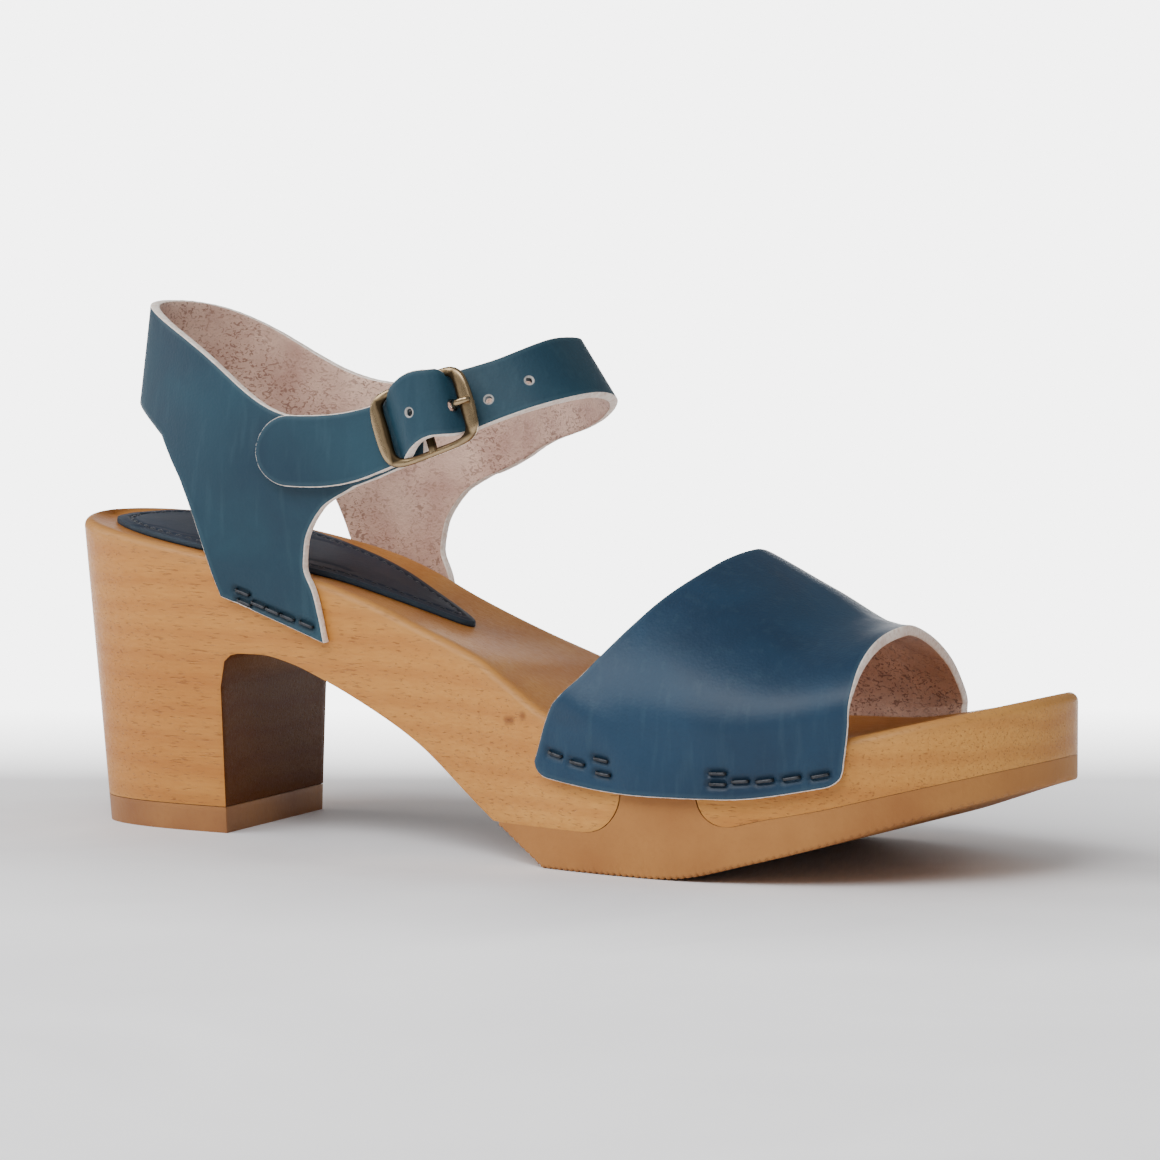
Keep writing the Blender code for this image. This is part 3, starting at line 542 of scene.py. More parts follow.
def curve(knots, values, at):
    """Cubic through the rows that doesn't overshoot them."""
    knots = np.asarray(knots, float)
    values = np.asarray(values, float)
    step = np.diff(knots)
    slope = np.diff(values) / step
    tangent = np.concatenate([slope[:1], np.zeros(len(knots) - 2), slope[-1:]])
    for i in range(1, len(knots) - 1):
        if slope[i - 1] * slope[i] > 0:
            after = 2 * step[i] + step[i - 1]
            before = step[i] + 2 * step[i - 1]
            tangent[i] = (after + before) / (after / slope[i - 1] + before / slope[i])
    at = np.clip(at, knots[0], knots[-1])
    i = np.clip(np.searchsorted(knots, at, side="right") - 1, 0, len(step) - 1)
    u = (at - knots[i]) / step[i]
    rise = values[i + 1] - values[i]
    start = tangent[i] * step[i]
    end = tangent[i + 1] * step[i]
    return values[i] + u * start + u * u * (3 * rise - 2 * start - end) + u**3 * (start + end - 2 * rise)


class Rows:
    """A table read as one smooth curve through its rows, by row number."""

    def __init__(self, table):
        self.rows = np.array(table, float)
        count = len(self.rows)
        matrix = np.eye(count)
        right = np.zeros_like(self.rows)
        for i in range(1, count - 1):
            matrix[i, i - 1 : i + 2] = (1, 4, 1)
            right[i] = 6 * (self.rows[i - 1] - 2 * self.rows[i] + self.rows[i + 1])
        self.bend = np.linalg.solve(matrix, right)

    def __call__(self, t):
        t = np.clip(np.asarray(t, float), 0, len(self.rows) - 1)
        i = np.minimum(t.astype(int), len(self.rows) - 2)
        u = (t - i)[..., None]
        v = 1 - u
        ends = v * self.rows[i] + u * self.rows[i + 1]
        return ends + ((v**3 - v) * self.bend[i] + (u**3 - u) * self.bend[i + 1]) / 6


def column(table, index):
    return [row[index] for row in table]


def mix(a, b, share):
    return a + (b - a) * share


def smoothstep(low, high, value):
    u = np.clip((value - low) / (high - low), 0, 1)
    return u * u * (3 - 2 * u)


class Profile:
    """One column of a table read as a smooth curve over its first column."""

    FINE = 2000

    def __init__(self, table, index):
        knots = column(table, 0)
        self.start = knots[0]
        self.step = (knots[-1] - knots[0]) / self.FINE
        at = np.linspace(knots[0], knots[-1], self.FINE + 1)
        self.values = curve(knots, column(table, index), at).tolist()

    def __call__(self, at):
        place = min(max((at - self.start) / self.step, 0), self.FINE)
        i = min(int(place), self.FINE - 1)
        return mix(self.values[i], self.values[i + 1], place - i)


class Outline:
    """A closed plan outline in ribs from back to front; x counts from the sole's back."""

    FINE = 60

    def __init__(self, table):
        scaled = [(row[0] * LENGTH, row[1] * BALL_WIDTH / 2, row[2] * BALL_WIDTH / 2) for row in table]
        self.rows = Rows(scaled)
        self.last = len(table) - 1
        self.fine = np.linspace(0, self.last, self.last * self.FINE + 1)
        self.reach = np.maximum.accumulate(self.rows(self.fine)[:, 0])

    def rib_at(self, x):
        return float(np.interp(x, self.reach, self.fine))

    def edges(self, x):
        """The outer and the inner side's y at x."""
        row = self.rows(self.rib_at(x))
        return row[1], row[2]

    def point(self, rib, side, inset=0.0):
        """The edge's point on one side, moved inwards, and the inward direction."""
        here = self.rows(rib)
        near = 1e-3
        before = self.rows(max(rib - near, 0))
        after = self.rows(min(rib + near, self.last))
        run = np.array([after[0] - before[0], after[side] - before[side]])
        if rib <= 0:
            inward = np.array([1.0, 0.0])
        elif rib >= self.last:
            inward = np.array([-1.0, 0.0])
        else:
            inward = np.array([-run[1], run[0]]) / np.hypot(*run)
            if side == INNER:
                inward = -inward
        return np.array([here[0], here[side]]) + inset * inward, inward


sole_outline = Outline(OUTLINE)
heel_rise = {side: Profile(FOOTBED, side) for side in SIDES}
toe_rise = Profile(FOOTBED, 3)
rocker_rise = Profile(ROCKER, 1)
rocker_thinning = Profile(ROCKER, 2)
arch_rise = Profile(ARCH, 1)
crest_height = Profile(VAMP_CREST, 1)
crest_across = Profile(VAMP_CREST, 2)
vamp_rear = Profile(VAMP_EDGES, 1)
vamp_front = Profile(VAMP_EDGES, 2)
leg_edges = [Profile(LEG, index) for index in (1, 2, 3, 4)]


def edge_height(x, side):
    """The footbed's edge above the floor."""
    heel = heel_rise[side](x / LENGTH) * (HEEL_HEIGHT - PLATFORM)
    return PLATFORM + heel + toe_rise(x / LENGTH) * (TOE_HEIGHT - PLATFORM)


def across_height(x, share):
    """The footbed at x, at a share of the way from its outer to its inner edge."""
    edge = mix(edge_height(x, OUTER), edge_height(x, INNER), share)
    return edge - FOOTBED_DISH * 4 * share * (1 - share) * (1 - smoothstep(0.35, 0.6, x / LENGTH))


def footbed(x, y):
    outer, inner = sole_outline.edges(x)
    outer, inner = outer + RIM_RADIUS, inner - RIM_RADIUS
    return across_height(x, min(max((y - outer) / max(inner - outer, GAP), 0), 1))


def rocker(x):
    return rocker_rise(x / LENGTH) * TOE_SPRING


def rubber_line(x):
    """Where the wood meets the rubber, without the groove."""
    return rocker(x) + mix(RUBBER, RUBBER_TOE, rocker_thinning(x / LENGTH))


def arch(x):
    return arch_rise((x - HEEL_BREAST) / LENGTH) * ARCH_HEIGHT


def wood_underside(x):
    base = max(arch(x), rubber_line(x))
    roof = min(edge_height(x, OUTER), edge_height(x, INNER)) - GROOVE_ROOF
    away = abs(x - GROOVE_PLACE)
    if away < GROOVE_WIDTH / 2 - GAP / 2:
        return roof
    into = GROOVE_WIDTH / 2 + GROOVE_CORNER - away
    if into <= 0:
        return base
    into = min(into, GROOVE_CORNER)
    return min(base + GROOVE_CORNER - math.sqrt(GROOVE_CORNER**2 - into**2), roof)


def rubber_top(x):
    return min(wood_underside(near) for near in (x - GAP, x, x + GAP)) - GAP


def rubber_underside(x):
    return max(rocker(x), arch(x), 0.0)


def lean(x, z, inward, side):
    """How far the heel's wall stands in from the footbed's edge at height z."""
    foot = mix(HEEL_LEAN_SIDE, HEEL_LEAN_BACK, max(inward[0], 0) ** 2)
    fade = 1 - smoothstep(HEEL_BREAST, 2.5 * HEEL_BREAST, x)
    height = edge_height(x, side)
    return foot * fade * max(height - z, 0) / height


def world(x, y, z):
    return (x - HEEL_SETBACK, y, z)


def skewed(x, y, z):
    """The heel's breast runs a little aslant; the footbed over it doesn't."""
    near = math.exp(-(((x - HEEL_BREAST) / (0.4 * HEEL_BREAST)) ** 2))
    depth = 1 - smoothstep(HEEL_SHOULDER, 1.5 * HEEL_SHOULDER, z)
    return world(x - BREAST_SKEW * y * near * depth, y, z)


def between(start, end, count):
    return [mix(start, end, i / count) for i in range(count + 1)]


def groove_stations():
    """Ribs on the round corners and walls of the flex groove."""
    turns = between(0, math.pi / 2, GROOVE_STEPS)
    away = [GROOVE_WIDTH / 2 + GROOVE_CORNER * (1 - math.sin(angle)) for angle in turns]
    away += [GROOVE_WIDTH / 2 - GAP, GROOVE_WIDTH / 6]
    return [GROOVE_PLACE - out for out in away] + [GROOVE_PLACE + out for out in reversed(away)]


def rubber_start():
    """Where the arch's slope has cut the rubber down to its thin rear edge."""
    places = np.linspace(HEEL_BREAST, GROOVE_PLACE, 2000)
    return float(next(x for x in places if rubber_line(x) - GAP - RUBBER_EDGE > arch(x)))


def wall_column(rib, side, bottom, rows):
    """Points down one side of the wood, from the footbed's rounded rim to the bottom."""
    here, inward = sole_outline.point(rib, side)
    top = edge_height(here[0], side)
    levels = []
    for i in range(RIM_STEPS):
        angle = math.pi / 2 * i / RIM_STEPS
        levels.append((RIM_RADIUS * (1 - math.sin(angle)), top - RIM_RADIUS * (1 - math.cos(angle))))
    levels += [(0.0, z) for z in between(top - RIM_RADIUS, bottom, rows)]
    points = []
    for inset, z in levels:
        inset += lean(here[0], z, inward, side)
        x, y = here + inset * inward
        points.append(skewed(x, y, z))
    return points


def sheet_row(start, end, height=None):
    """Points straight across from one side's point to the other's, with a height for each share."""
    row = []
    for i in range(ACROSS + 1):
        share = i / ACROSS
        x, y, z = (mix(a, b, share) for a, b in zip(start, end))
        row.append((x, y, z if height is None else height(share)))
    return row


def footbed_row(rib):
    ends = [sole_outline.point(rib, side, RIM_RADIUS)[0] for side in SIDES]
    ends = [world(x, y, edge_height(sole_outline.rows(rib)[0], side)) for (x, y), side in zip(ends, SIDES)]
    station = float(sole_outline.rows(rib)[0])
    return sheet_row(*ends, lambda share: across_height(station, share))


def wood_bottom(rib):
    return wood_underside(float(sole_outline.rows(rib)[0]))


def side_point(rib, side, z, inset=0.0):
    """The wall's point at height z, moved inwards."""
    here, inward = sole_outline.point(rib, side)
    x, y = here + (inset + lean(here[0], z, inward, side)) * inward
    return skewed(x, y, z)


def bottom_row(rib, z, inset=0.0):
    return sheet_row(*(side_point(rib, side, z, inset) for side in SIDES))


def block_faces(mesh, ribs, top, bottom, rows):
    """The heel block's walls and breast between two heights."""
    for side in SIDES:
        mesh.grid([[side_point(rib, side, z) for z in between(top, bottom, rows)] for rib in ribs])
    mesh.grid([bottom_row(ribs[-1], z) for z in between(top, bottom, rows)])


def with_wall(surface, u, v):
    """The outer point at (u, v) and the inner point a wall's thickness behind it."""
    near = 1e-4
    along = np.subtract(surface(u + near, v), surface(u - near, v))
    up = np.subtract(surface(u, v + near), surface(u, v - near))
    normal = np.cross(up, along)
    normal /= np.linalg.norm(normal)
    outer = np.asarray(surface(u, v), float)
    return outer, outer - WALL * normal


def vamp_face(around, along, lower):
    """The vamp's outer face: around the section from outer to inner side, along from rear to front."""
    share = mix(vamp_rear(around), vamp_front(around), along)
    x = share * LENGTH
    crest = crest_height(share) * INSTEP
    middle = crest_across(share) * BALL_WIDTH / 2
    side = OUTER if around < 0.5 else INNER
    edge = sole_outline.edges(x)[side - 1]
    edge += math.copysign(GAP + WALL, edge)
    flank = edge_height(x, side) + FLANK_RISE[side]
    away = abs(around - 0.5) * 2
    if away > FLANK_SHARE:
        down = (away - FLANK_SHARE) / (1 - FLANK_SHARE)
        return np.array(world(x, edge, mix(flank, lower, down)))
    angle = math.pi / 2 * away / FLANK_SHARE
    power = 2 / mix(*ROUNDNESS[side], along)
    y = middle + (edge - middle) * math.sin(angle) ** power
    return np.array(world(x, y, flank + (crest - flank) * max(math.cos(angle), 0) ** power))


def vamp_pair(around, along):
    lower = vamp_lower(along)
    return with_wall(lambda u, v: vamp_face(u, v, lower), around, along)


def vamp_lower(along):
    """The vamp's lower edge, with its corners rounded."""
    x = mix(VAMP_EDGES[0][1], VAMP_EDGES[0][2], along) * LENGTH
    middle = min(edge_height(x, OUTER), edge_height(x, INNER)) - VAMP_OVERLAP
    sag = 0.0
    for corner in (along, 1 - along):
        into = min(max(1 - corner / CORNER_REACH, 0), 1)
        sag += VAMP_CORNER * (1 - math.sqrt(1 - into**2))
    return middle + sag


path_rows = Rows(PATH)
BUCKLE_HEIGHT = float(np.mean(path_rows(BUCKLE_ROW)[4:6])) * BACK_HEIGHT


def quarter_plain(t, z):
    """The quarter's outer face at row t of its path and height z, without the bulge at the buckle."""
    row = path_rows(min(t, TAIL_START + 3))
    up = max(z - ANKLE_LEVEL, 0) / (BACK_HEIGHT - ANKLE_LEVEL)
    x = mix(row[0], row[2], up) * LENGTH
    y = mix(row[1], row[3], up) * BALL_WIDTH / 2
    if t < OUTER_LEG[1] + 1 or INNER_LEG[1] - 1 < t < INNER_LEG[0] + 1:
        side = OUTER if t < OUTER_LEG[1] + 1 else INNER
        down = smoothstep(ANKLE_LEVEL, edge_height(x, side), z) if z < ANKLE_LEVEL else 0.0
        edge = sole_outline.edges(x)[side - 1]
        edge -= math.copysign(lean(x, z, (0.0, 1.0), side), edge)
        y = mix(y, edge + math.copysign(GAP + WALL, edge), down)
    # The tail laps over the quarter by a wall and a small gap
    lapped = smoothstep(TAIL_START - 2.2, TAIL_START - 0.4, t)
    return np.array(world(x, y - (WALL + LAP) * lapped, z))


def bulge(distance):
    """The strap's rise off its plain face over the centre bar."""
    share = abs(distance) / (FRAME_LENGTH / 2 - BAR_WIDTH + GAP)
    return STRAP_BULGE * (1 - share**3.2) ** 2 if share < 1 else 0.0


def plain_normal(t, z):
    outer, inner = with_wall(quarter_plain, t, z)
    return (outer - inner) / WALL


# The buckle's own axes: its centre on the strap's outer face, off the strap, along it, across it
BUCKLE_CENTRE = quarter_plain(BUCKLE_ROW, BUCKLE_HEIGHT)
OFF_STRAP = plain_normal(BUCKLE_ROW, BUCKLE_HEIGHT)
LEVEL = np.cross((0.0, 0.0, 1.0), OFF_STRAP)
LEVEL /= np.linalg.norm(LEVEL)
UPWARD = np.cross(OFF_STRAP, LEVEL)
ALONG = LEVEL * math.cos(BUCKLE_SLOPE) + UPWARD * math.sin(BUCKLE_SLOPE)
ACROSS_STRAP = np.cross(OFF_STRAP, ALONG)


# The frame's opening is the strap's width and a little play on either side
STRAP_WIDTH = float(np.diff(path_rows(BUCKLE_ROW)[4:6])[0]) * BACK_HEIGHT * math.cos(BUCKLE_SLOPE)
FRAME_WIDTH = STRAP_WIDTH + 2 * (STRAP_PLAY + RAIL_WIDTH)


def on_buckle(along, across, lift):
    return BUCKLE_CENTRE + along * ALONG + across * ACROSS_STRAP + (BUCKLE_LIFT + lift) * OFF_STRAP


def quarter_surface(t, z):
    """The quarter's outer face; over the buckle's centre bar the strap bulges and rides up a little."""
    point = quarter_plain(t, z)
    if t < TAIL_START - 3:
        return point
    away = float(np.dot(point - BUCKLE_CENTRE, ALONG))
    rise = STRAP_RISE * max(1 - (away / RISE_REACH) ** 2, 0) ** 2
    return point + bulge(away) * plain_normal(t, z) + np.array([0.0, 0.0, rise])


def band_edges(t):
    """The band's lower and upper edge, rounded off at the tail."""
    low, high = path_rows(t)[4:6] * BACK_HEIGHT
    left = (TAIL_END - t) * abs(path_rows(TAIL_START + 2)[0] - path_rows(TAIL_START + 1)[0]) * LENGTH
    if left < TAIL_ROUND:
        into = 1 - max(left, 0) / TAIL_ROUND
        half = (high - low) / 2 * math.sqrt(1 - min(into, 0.985) ** 2)
        middle = (high + low) / 2
        low, high = middle - half, middle + half
    return low, high


def leg_grid(rows):
    """The leg's grid of (row, height): across from the front to the rear edge, down from the band."""
    front_row, rear_row = rows
    band = between(front_row, rear_row, LEG_ACROSS)
    fine = np.linspace(front_row, rear_row, 200)
    places = [path_rows(t)[0] for t in fine]
    grid = [[(t, band_edges(t)[0]) for t in band]]
    for i in range(1, LEG_ROWS + 1):
        down = i / LEG_ROWS
        front, rear, front_z, rear_z = (edge(down) for edge in leg_edges)
        row = []
        for j, t in enumerate(band):
            share = (path_rows(t)[0] - places[0]) / (places[-1] - places[0])
            along = mix(front, rear, share)
            # The band's own lower edge fades into straight rows down the leg
            sag = band_edges(t)[0] - mix(band_edges(front_row)[0], band_edges(rear_row)[0], share)
            z = mix(front_z, rear_z, share) * BACK_HEIGHT + sag * (1 - down) ** 2
            row.append((float(np.interp(-along, [-p for p in places], fine)), z))
        grid.append(row)
    return grid


class Mesh:
    """Collects grids of points and joins them where their edges coincide."""

    WELD = 2e-6

    def __init__(self):
        self.bm = bmesh.new()

    def grid(self, rows):
        made = [[self.bm.verts.new(point) for point in row] for row in rows]
        for above, below in zip(made, made[1:]):
            for i in range(len(above) - 1):
                self.bm.faces.new((above[i], above[i + 1], below[i + 1], below[i]))

    def finish(self, name, materials, sharp=40, bevel=0.0):
        bm = self.bm
        bmesh.ops.remove_doubles(bm, verts=bm.verts, dist=self.WELD)
        bmesh.ops.dissolve_degenerate(bm, edges=bm.edges, dist=self.WELD)
        bmesh.ops.recalc_face_normals(bm, faces=bm.faces)
        if bm.calc_volume(signed=True) < 0:
            bmesh.ops.reverse_faces(bm, faces=bm.faces)
        mesh = bpy.data.meshes.new(name)
        bm.to_mesh(mesh)
        bm.free()
        return as_piece(name, mesh, materials, sharp, bevel)


def as_piece(name, mesh, materials, sharp, bevel=0.0):
    """Links the mesh as an object, with its sharp edges rounded by a bevel."""
    for made in materials:
        mesh.materials.append(made)
    piece = bpy.data.objects.new(name, mesh)
    bpy.context.collection.objects.link(piece)
    if bevel:
        rounding = piece.modifiers.new("rounding", "BEVEL")
        rounding.width = bevel
        rounding.segments = 2
        rounding.limit_method = "ANGLE"
        rounding.angle_limit = math.radians(sharp)
        apply_modifiers(piece)
    piece.data.shade_smooth()
    piece.data.set_sharp_from_angle(angle=math.radians(sharp))
    return piece


def apply_modifiers(piece):
    bpy.context.view_layer.update()
    graph = bpy.context.evaluated_depsgraph_get()
    made = bpy.data.meshes.new_from_object(piece.evaluated_get(graph))
    piece.modifiers.clear()
    piece.data = made


class Shell:
    """A sheet with a grain side, a flesh side and domed raw edges: slots 0, 1 and 2."""

    WELD = 6e-6
    PROFILE = ((0.05, 0.5), (0.18, 0.88), (0.5, 1.0), (0.82, 0.88), (0.95, 0.5))

    def __init__(self):
        self.points, self.normals, self.depths = [], [], []
        self.faces, self.slots = [], []
        self.known, self.uses, self.hubs = {}, {}, {}

    def add(self, point, normal, depth):
        self.points.append(point)
        self.normals.append(normal)
        self.depths.append(depth)
        return len(self.points) - 1

    def vertex(self, pair):
        key = tuple(np.round(np.asarray(pair[0]) / self.WELD).astype(int))
        if key not in self.known:
            outer, inner = (np.asarray(point, float) for point in pair)
            normal = (outer - inner) / np.linalg.norm(outer - inner)
            self.known[key] = self.add(outer, normal, 0.0), self.add(inner, normal, 1.0)
        return key

    def grid(self, rows):
        keys = [[self.vertex(pair) for pair in row] for row in rows]
        for above, below in zip(keys, keys[1:]):
            for i in range(len(above) - 1):
                self.face((above[i], above[i + 1], below[i + 1], below[i]))

    def face(self, corners):
        corners = [c for i, c in enumerate(corners) if c != corners[i - 1]]
        if len(set(corners)) < 3:
            return
        outer = [self.known[c][0] for c in corners]
        self.faces += [outer, [self.known[c][1] for c in reversed(corners)]]
        self.slots += [0, 1]
        centre = np.mean([self.points[i] for i in outer], axis=0)
        for start, end in zip(corners, corners[1:] + corners[:1]):
            self.hubs.setdefault(start, []).append(centre)
            if self.uses.pop((end, start), None) is None:
                self.uses[(start, end)] = True

    def finish(self, name, materials, relief=None, sharp=50):
        after = {start: end for start, end in self.uses}
        before = {end: start for start, end in self.uses}
        rng = np.random.default_rng(len(self.points))
        columns = {}
        for key in after:
            outer, inner = self.known[key]
            top, low = self.points[outer], self.points[inner]
            run = self.points[self.known[after[key]][0]] - self.points[self.known[before[key]][0]]
            out = np.cross(run, self.normals[outer])
            inward = np.mean(self.hubs[key], axis=0) - top
            out *= -math.copysign(1 / np.linalg.norm(out), np.dot(out, inward))
            column = [outer]
            for share, dome in self.PROFILE:
                reach = EDGE_DOME * dome * rng.uniform(0.75, 1.25)
                column.append(self.add(mix(top, low, share) + reach * out, self.normals[outer], share))
            columns[key] = column + [inner]
        for start, end in self.uses:
            for i in range(len(self.PROFILE) + 1):
                strip = columns[end][i], columns[start][i], columns[start][i + 1], columns[end][i + 1]
                self.faces.append(list(strip))
                self.slots.append(2)
        points, normals, depths = (np.array(values) for values in (self.points, self.normals, self.depths))
        if relief:
            points += (relief(points) * (1 - depths))[:, None] * normals
        a, b, c = points[self.faces[0][:3]]
        if np.dot(np.cross(b - a, c - b), normals[self.faces[0][0]]) < 0:
            self.faces = [face[::-1] for face in self.faces]
        mesh = bpy.data.meshes.new(name)
        mesh.from_pydata(points.tolist(), [], self.faces)
        mesh.polygons.foreach_set("material_index", self.slots)
        self.border = [self.points[self.known[key][0]] for key in after]
        return as_piece(name, mesh, materials, sharp)


def points_of(piece):
    points = np.empty(len(piece.data.vertices) * 3, np.float32)
    piece.data.vertices.foreach_get("co", points)
    return points.reshape(-1, 3)


def paint(piece, name, values):
    """Stores one number for each point, which the piece's material reads."""
    layer = piece.data.attributes.new(name, "FLOAT", "POINT")
    layer.data.foreach_set("value", np.asarray(values, np.float32))


def distance(points, targets):
    tree = KDTree(len(targets))
    for i, target in enumerate(targets):
        tree.insert(target, i)
    tree.balance()
    return np.array([tree.find(point)[2] for point in points])


def from_line(points, start, end):
    run = end - start
    share = np.clip((points - start) @ run / (run @ run), 0, 1)
    return np.linalg.norm(points - start - share[:, None] * run, axis=1)


def soft(value, width):
    return np.exp(-((value / width) ** 2))


def uneven(points, size, rise, turn):
    """A soft unevenness of hand-shaped leather."""
    x, y, z = (points / size).T
    waves = np.sin(x * 6.1 + 2.3 * z + turn) + np.sin(4.7 * z - 3.1 * x + 2 * y + 2.1 * turn)
    return rise * (waves + np.sin(5.3 * y + 3.7 * z - 1.3 * turn))


class Look:
    """Builds one procedural material from the piece's own coordinates."""

    def __init__(self, name, **settings):
        self.made = bpy.data.materials.new(name)
        self.made.use_nodes = True
        self.tree = self.made.node_tree
        self.shader = self.tree.nodes["Principled BSDF"]
        self.place = self.tree.nodes.new("ShaderNodeTexCoord").outputs["Object"]
        self.set(**settings)

    def set(self, **settings):
        for key, value in settings.items():
            self.feed(self.shader.inputs[key.replace("_", " ")], value)

    def feed(self, socket, value):
        if isinstance(value, bpy.types.NodeSocket):
            self.tree.links.new(value, socket)
        elif socket.type == "RGBA":
            socket.default_value = (*value, 1)
        else:
            socket.default_value = value

    def node(self, kind, inputs, output=0, **settings):
        made = self.tree.nodes.new("ShaderNode" + kind)
        for key, value in settings.items():
            setattr(made, key, value)
        for key, value in inputs.items():
            self.feed(made.inputs[key], value)
        return made.outputs[output]

    def stretched(self, stretch):
        """The place with its axes scaled, so that a pattern runs along the shoe."""
        return self.node("VectorMath", {0: self.place, 1: stretch}, operation="MULTIPLY")

    def noise(self, scale, detail=3, stretch=(1, 1, 1), warp=0.0):
        inputs = {"Vector": self.stretched(stretch), "Scale": scale, "Detail": detail, "Distortion": warp}
        return self.node("TexNoise", inputs)

    def cells(self, scale):
        return self.node("TexVoronoi", {"Vector": self.place, "Scale": scale})

    def range(self, value, low, high, start=0.0, end=1.0):
        inputs = {"Value": value, "From Min": low, "From Max": high, "To Min": start, "To Max": end}
        return self.node("MapRange", inputs)

    def times(self, a, b):
        return self.node("Math", {0: a, 1: b}, operation="MULTIPLY")

    def plus(self, a, b):
        return self.node("Math", {0: a, 1: b}, operation="ADD")

    def blend(self, share, a, b):
        return self.node("Mix", {0: share, 6: a, 7: b}, 2, data_type="RGBA")

    def painted(self, name):
        return self.node("Attribute", {}, 2, attribute_name=name)

    def near(self, point, low, high):
        """1 at the point, fading out between two distances from it."""
        away = self.node("VectorMath", {0: self.place, 1: tuple(point)}, 1, operation="DISTANCE")
        return self.range(away, low, high, 1.0, 0.0)

    def bump(self, *layers):
        """Raises the surface by each (height, metres) in turn."""
        normal = None
        for height, reach in layers:
            inputs = {"Height": height, "Distance": reach}
            if normal:
                inputs["Normal"] = normal
            normal = self.node("Bump", inputs)
        self.feed(self.shader.inputs["Normal"], normal)


class Sky(Look):
    """The studio's light from all around, by the way looked."""

    def __init__(self):
        self.made = bpy.data.worlds.new("studio")
        self.made.use_nodes = True
        self.tree = self.made.node_tree
        self.shader = self.tree.nodes["Background"]
        self.shader.inputs["Color"].default_value = (1, 1, 1, 1)
        self.place = self.tree.nodes.new("ShaderNodeTexCoord").outputs["Generated"]
        self.level = self.node("SeparateXYZ", {"Vector": self.place}, 2)


def wood_look():
    """Oiled honey-coloured wood: rings, fibre and short dark pores along the shoe."""
    look = Look("honey_wood", Coat_Roughness=0.35)
    drift = look.noise(16, 3, (0.35, 1, 1), warp=0.8)
    wave = {"Vector": look.stretched((0.16, 0.7, 1)), "Scale": 52}
    wave |= {"Distortion": 7, "Detail": 3, "Detail Scale": 0.7}
    rings = look.node("TexWave", wave, 1, bands_direction="Z")
    fibre = look.noise(1, 3, (160, 1500, 1500))
    pores = look.range(look.noise(1, 2, (330, 2600, 2600)), 0.60, 0.70)
    colour = look.blend(look.range(drift, 0.35, 0.65), WOOD_DEEP, WOOD_LIGHT)
    colour = look.blend(look.range(rings, 0.3, 1.0, 0.0, 0.30), colour, WOOD_RING)
    colour = look.blend(look.range(fibre, 0.35, 0.7, 0.0, 0.28), colour, WOOD_RING)
    colour = look.blend(look.times(pores, 0.45), colour, WOOD_PORE)
    # Sanded wear and a painted highlight: the footbed's rounded rim paler
    colour = look.blend(look.times(look.painted("rim"), 0.40), colour, WOOD_RIM_WEAR_AND_HIGHLIGHT)
    # Painted shade: the footbed's top darkened
    colour = look.blend(look.times(look.painted("top"), 0.36), colour, WOOD_SHADE)
    # Painted shade: the heel's breast and the arch's underside darkened, with less gloss there
    under_shade = look.painted("under_shade")
    colour = look.blend(look.times(under_shade, 0.85), colour, WOOD_UNDER_SHADE)
    look.set(Coat_Weight=look.range(under_shade, 0.0, 1.0, 0.08, 0.0))
    look.set(Specular_IOR_Level=look.range(under_shade, 0.0, 1.0, 0.3, 0.05))
    for knot in KNOTS:
        colour = look.blend(look.times(look.near(knot, 0.0004, 0.0014), 0.7), colour, WOOD_PORE)
    look.set(Base_Color=colour, Roughness=look.range(fibre, 0.3, 0.7, 0.42, 0.56))
    look.bump((fibre, 0.00005), (pores, -0.00008))
    return look.made


def rubber_look(name, light, dark, roughness):
    look = Look(name, Roughness=roughness)
    cloud = look.noise(40, 4)
    grit = look.noise(900, 3)
    colour = look.blend(look.range(cloud, 0.35, 0.65), dark, light)
    colour = look.blend(look.range(grit, 0.5, 0.75, 0.0, 0.25), colour, dark)
    look.set(Base_Color=colour)
    look.bump((grit, 0.00008), (cloud, 0.0002))
    return look.made


def leather_look(name, deep, light, gloss, coat, marks=()):
    """Smooth waxed leather: soft clouds of tone, a fine grain and burnished, worn edges."""
    look = Look(name, Coat_Weight=coat, Coat_Roughness=0.3, Specular_IOR_Level=0.3)
    cloud = look.noise(34, 4, warp=0.6)
    broad = look.noise(11, 2)
    grain = look.cells(1300)
    pores = look.noise(1700, 3)
    lines = look.noise(1, 3, (420, 420, 60))
    colour = look.blend(look.range(look.plus(cloud, broad), 0.8, 1.2), deep, light)
    colour = look.blend(look.range(pores, 0.5, 0.8, 0.0, 0.2), colour, deep)
    colour = look.blend(look.times(look.range(lines, 0.55, 0.7), 0.05), colour, LEATHER_WORN)
    colour = look.blend(look.range(look.painted("rim"), 0.0012, 0.0002, 0.0, 0.14), colour, LEATHER_WORN)
    # Crushed leather and painted shade: the staples' slots and the sock's seam groove darkened
    colour = look.blend(look.times(look.painted("pressed_shade"), 0.9), colour, LEATHER_CRUSHED_AND_SHADED)
    for mark in marks:
        colour = look.blend(look.times(look.near(mark, 0.0010, 0.0013), 0.45), colour, RAW_EDGE)
    rough = look.range(cloud, 0.3, 0.7, gloss, gloss + 0.12)
    look.set(Base_Color=colour, Roughness=rough)
    look.bump((lines, 0.00005), (grain, 0.00003), (pores, 0.00003))
    return look.made


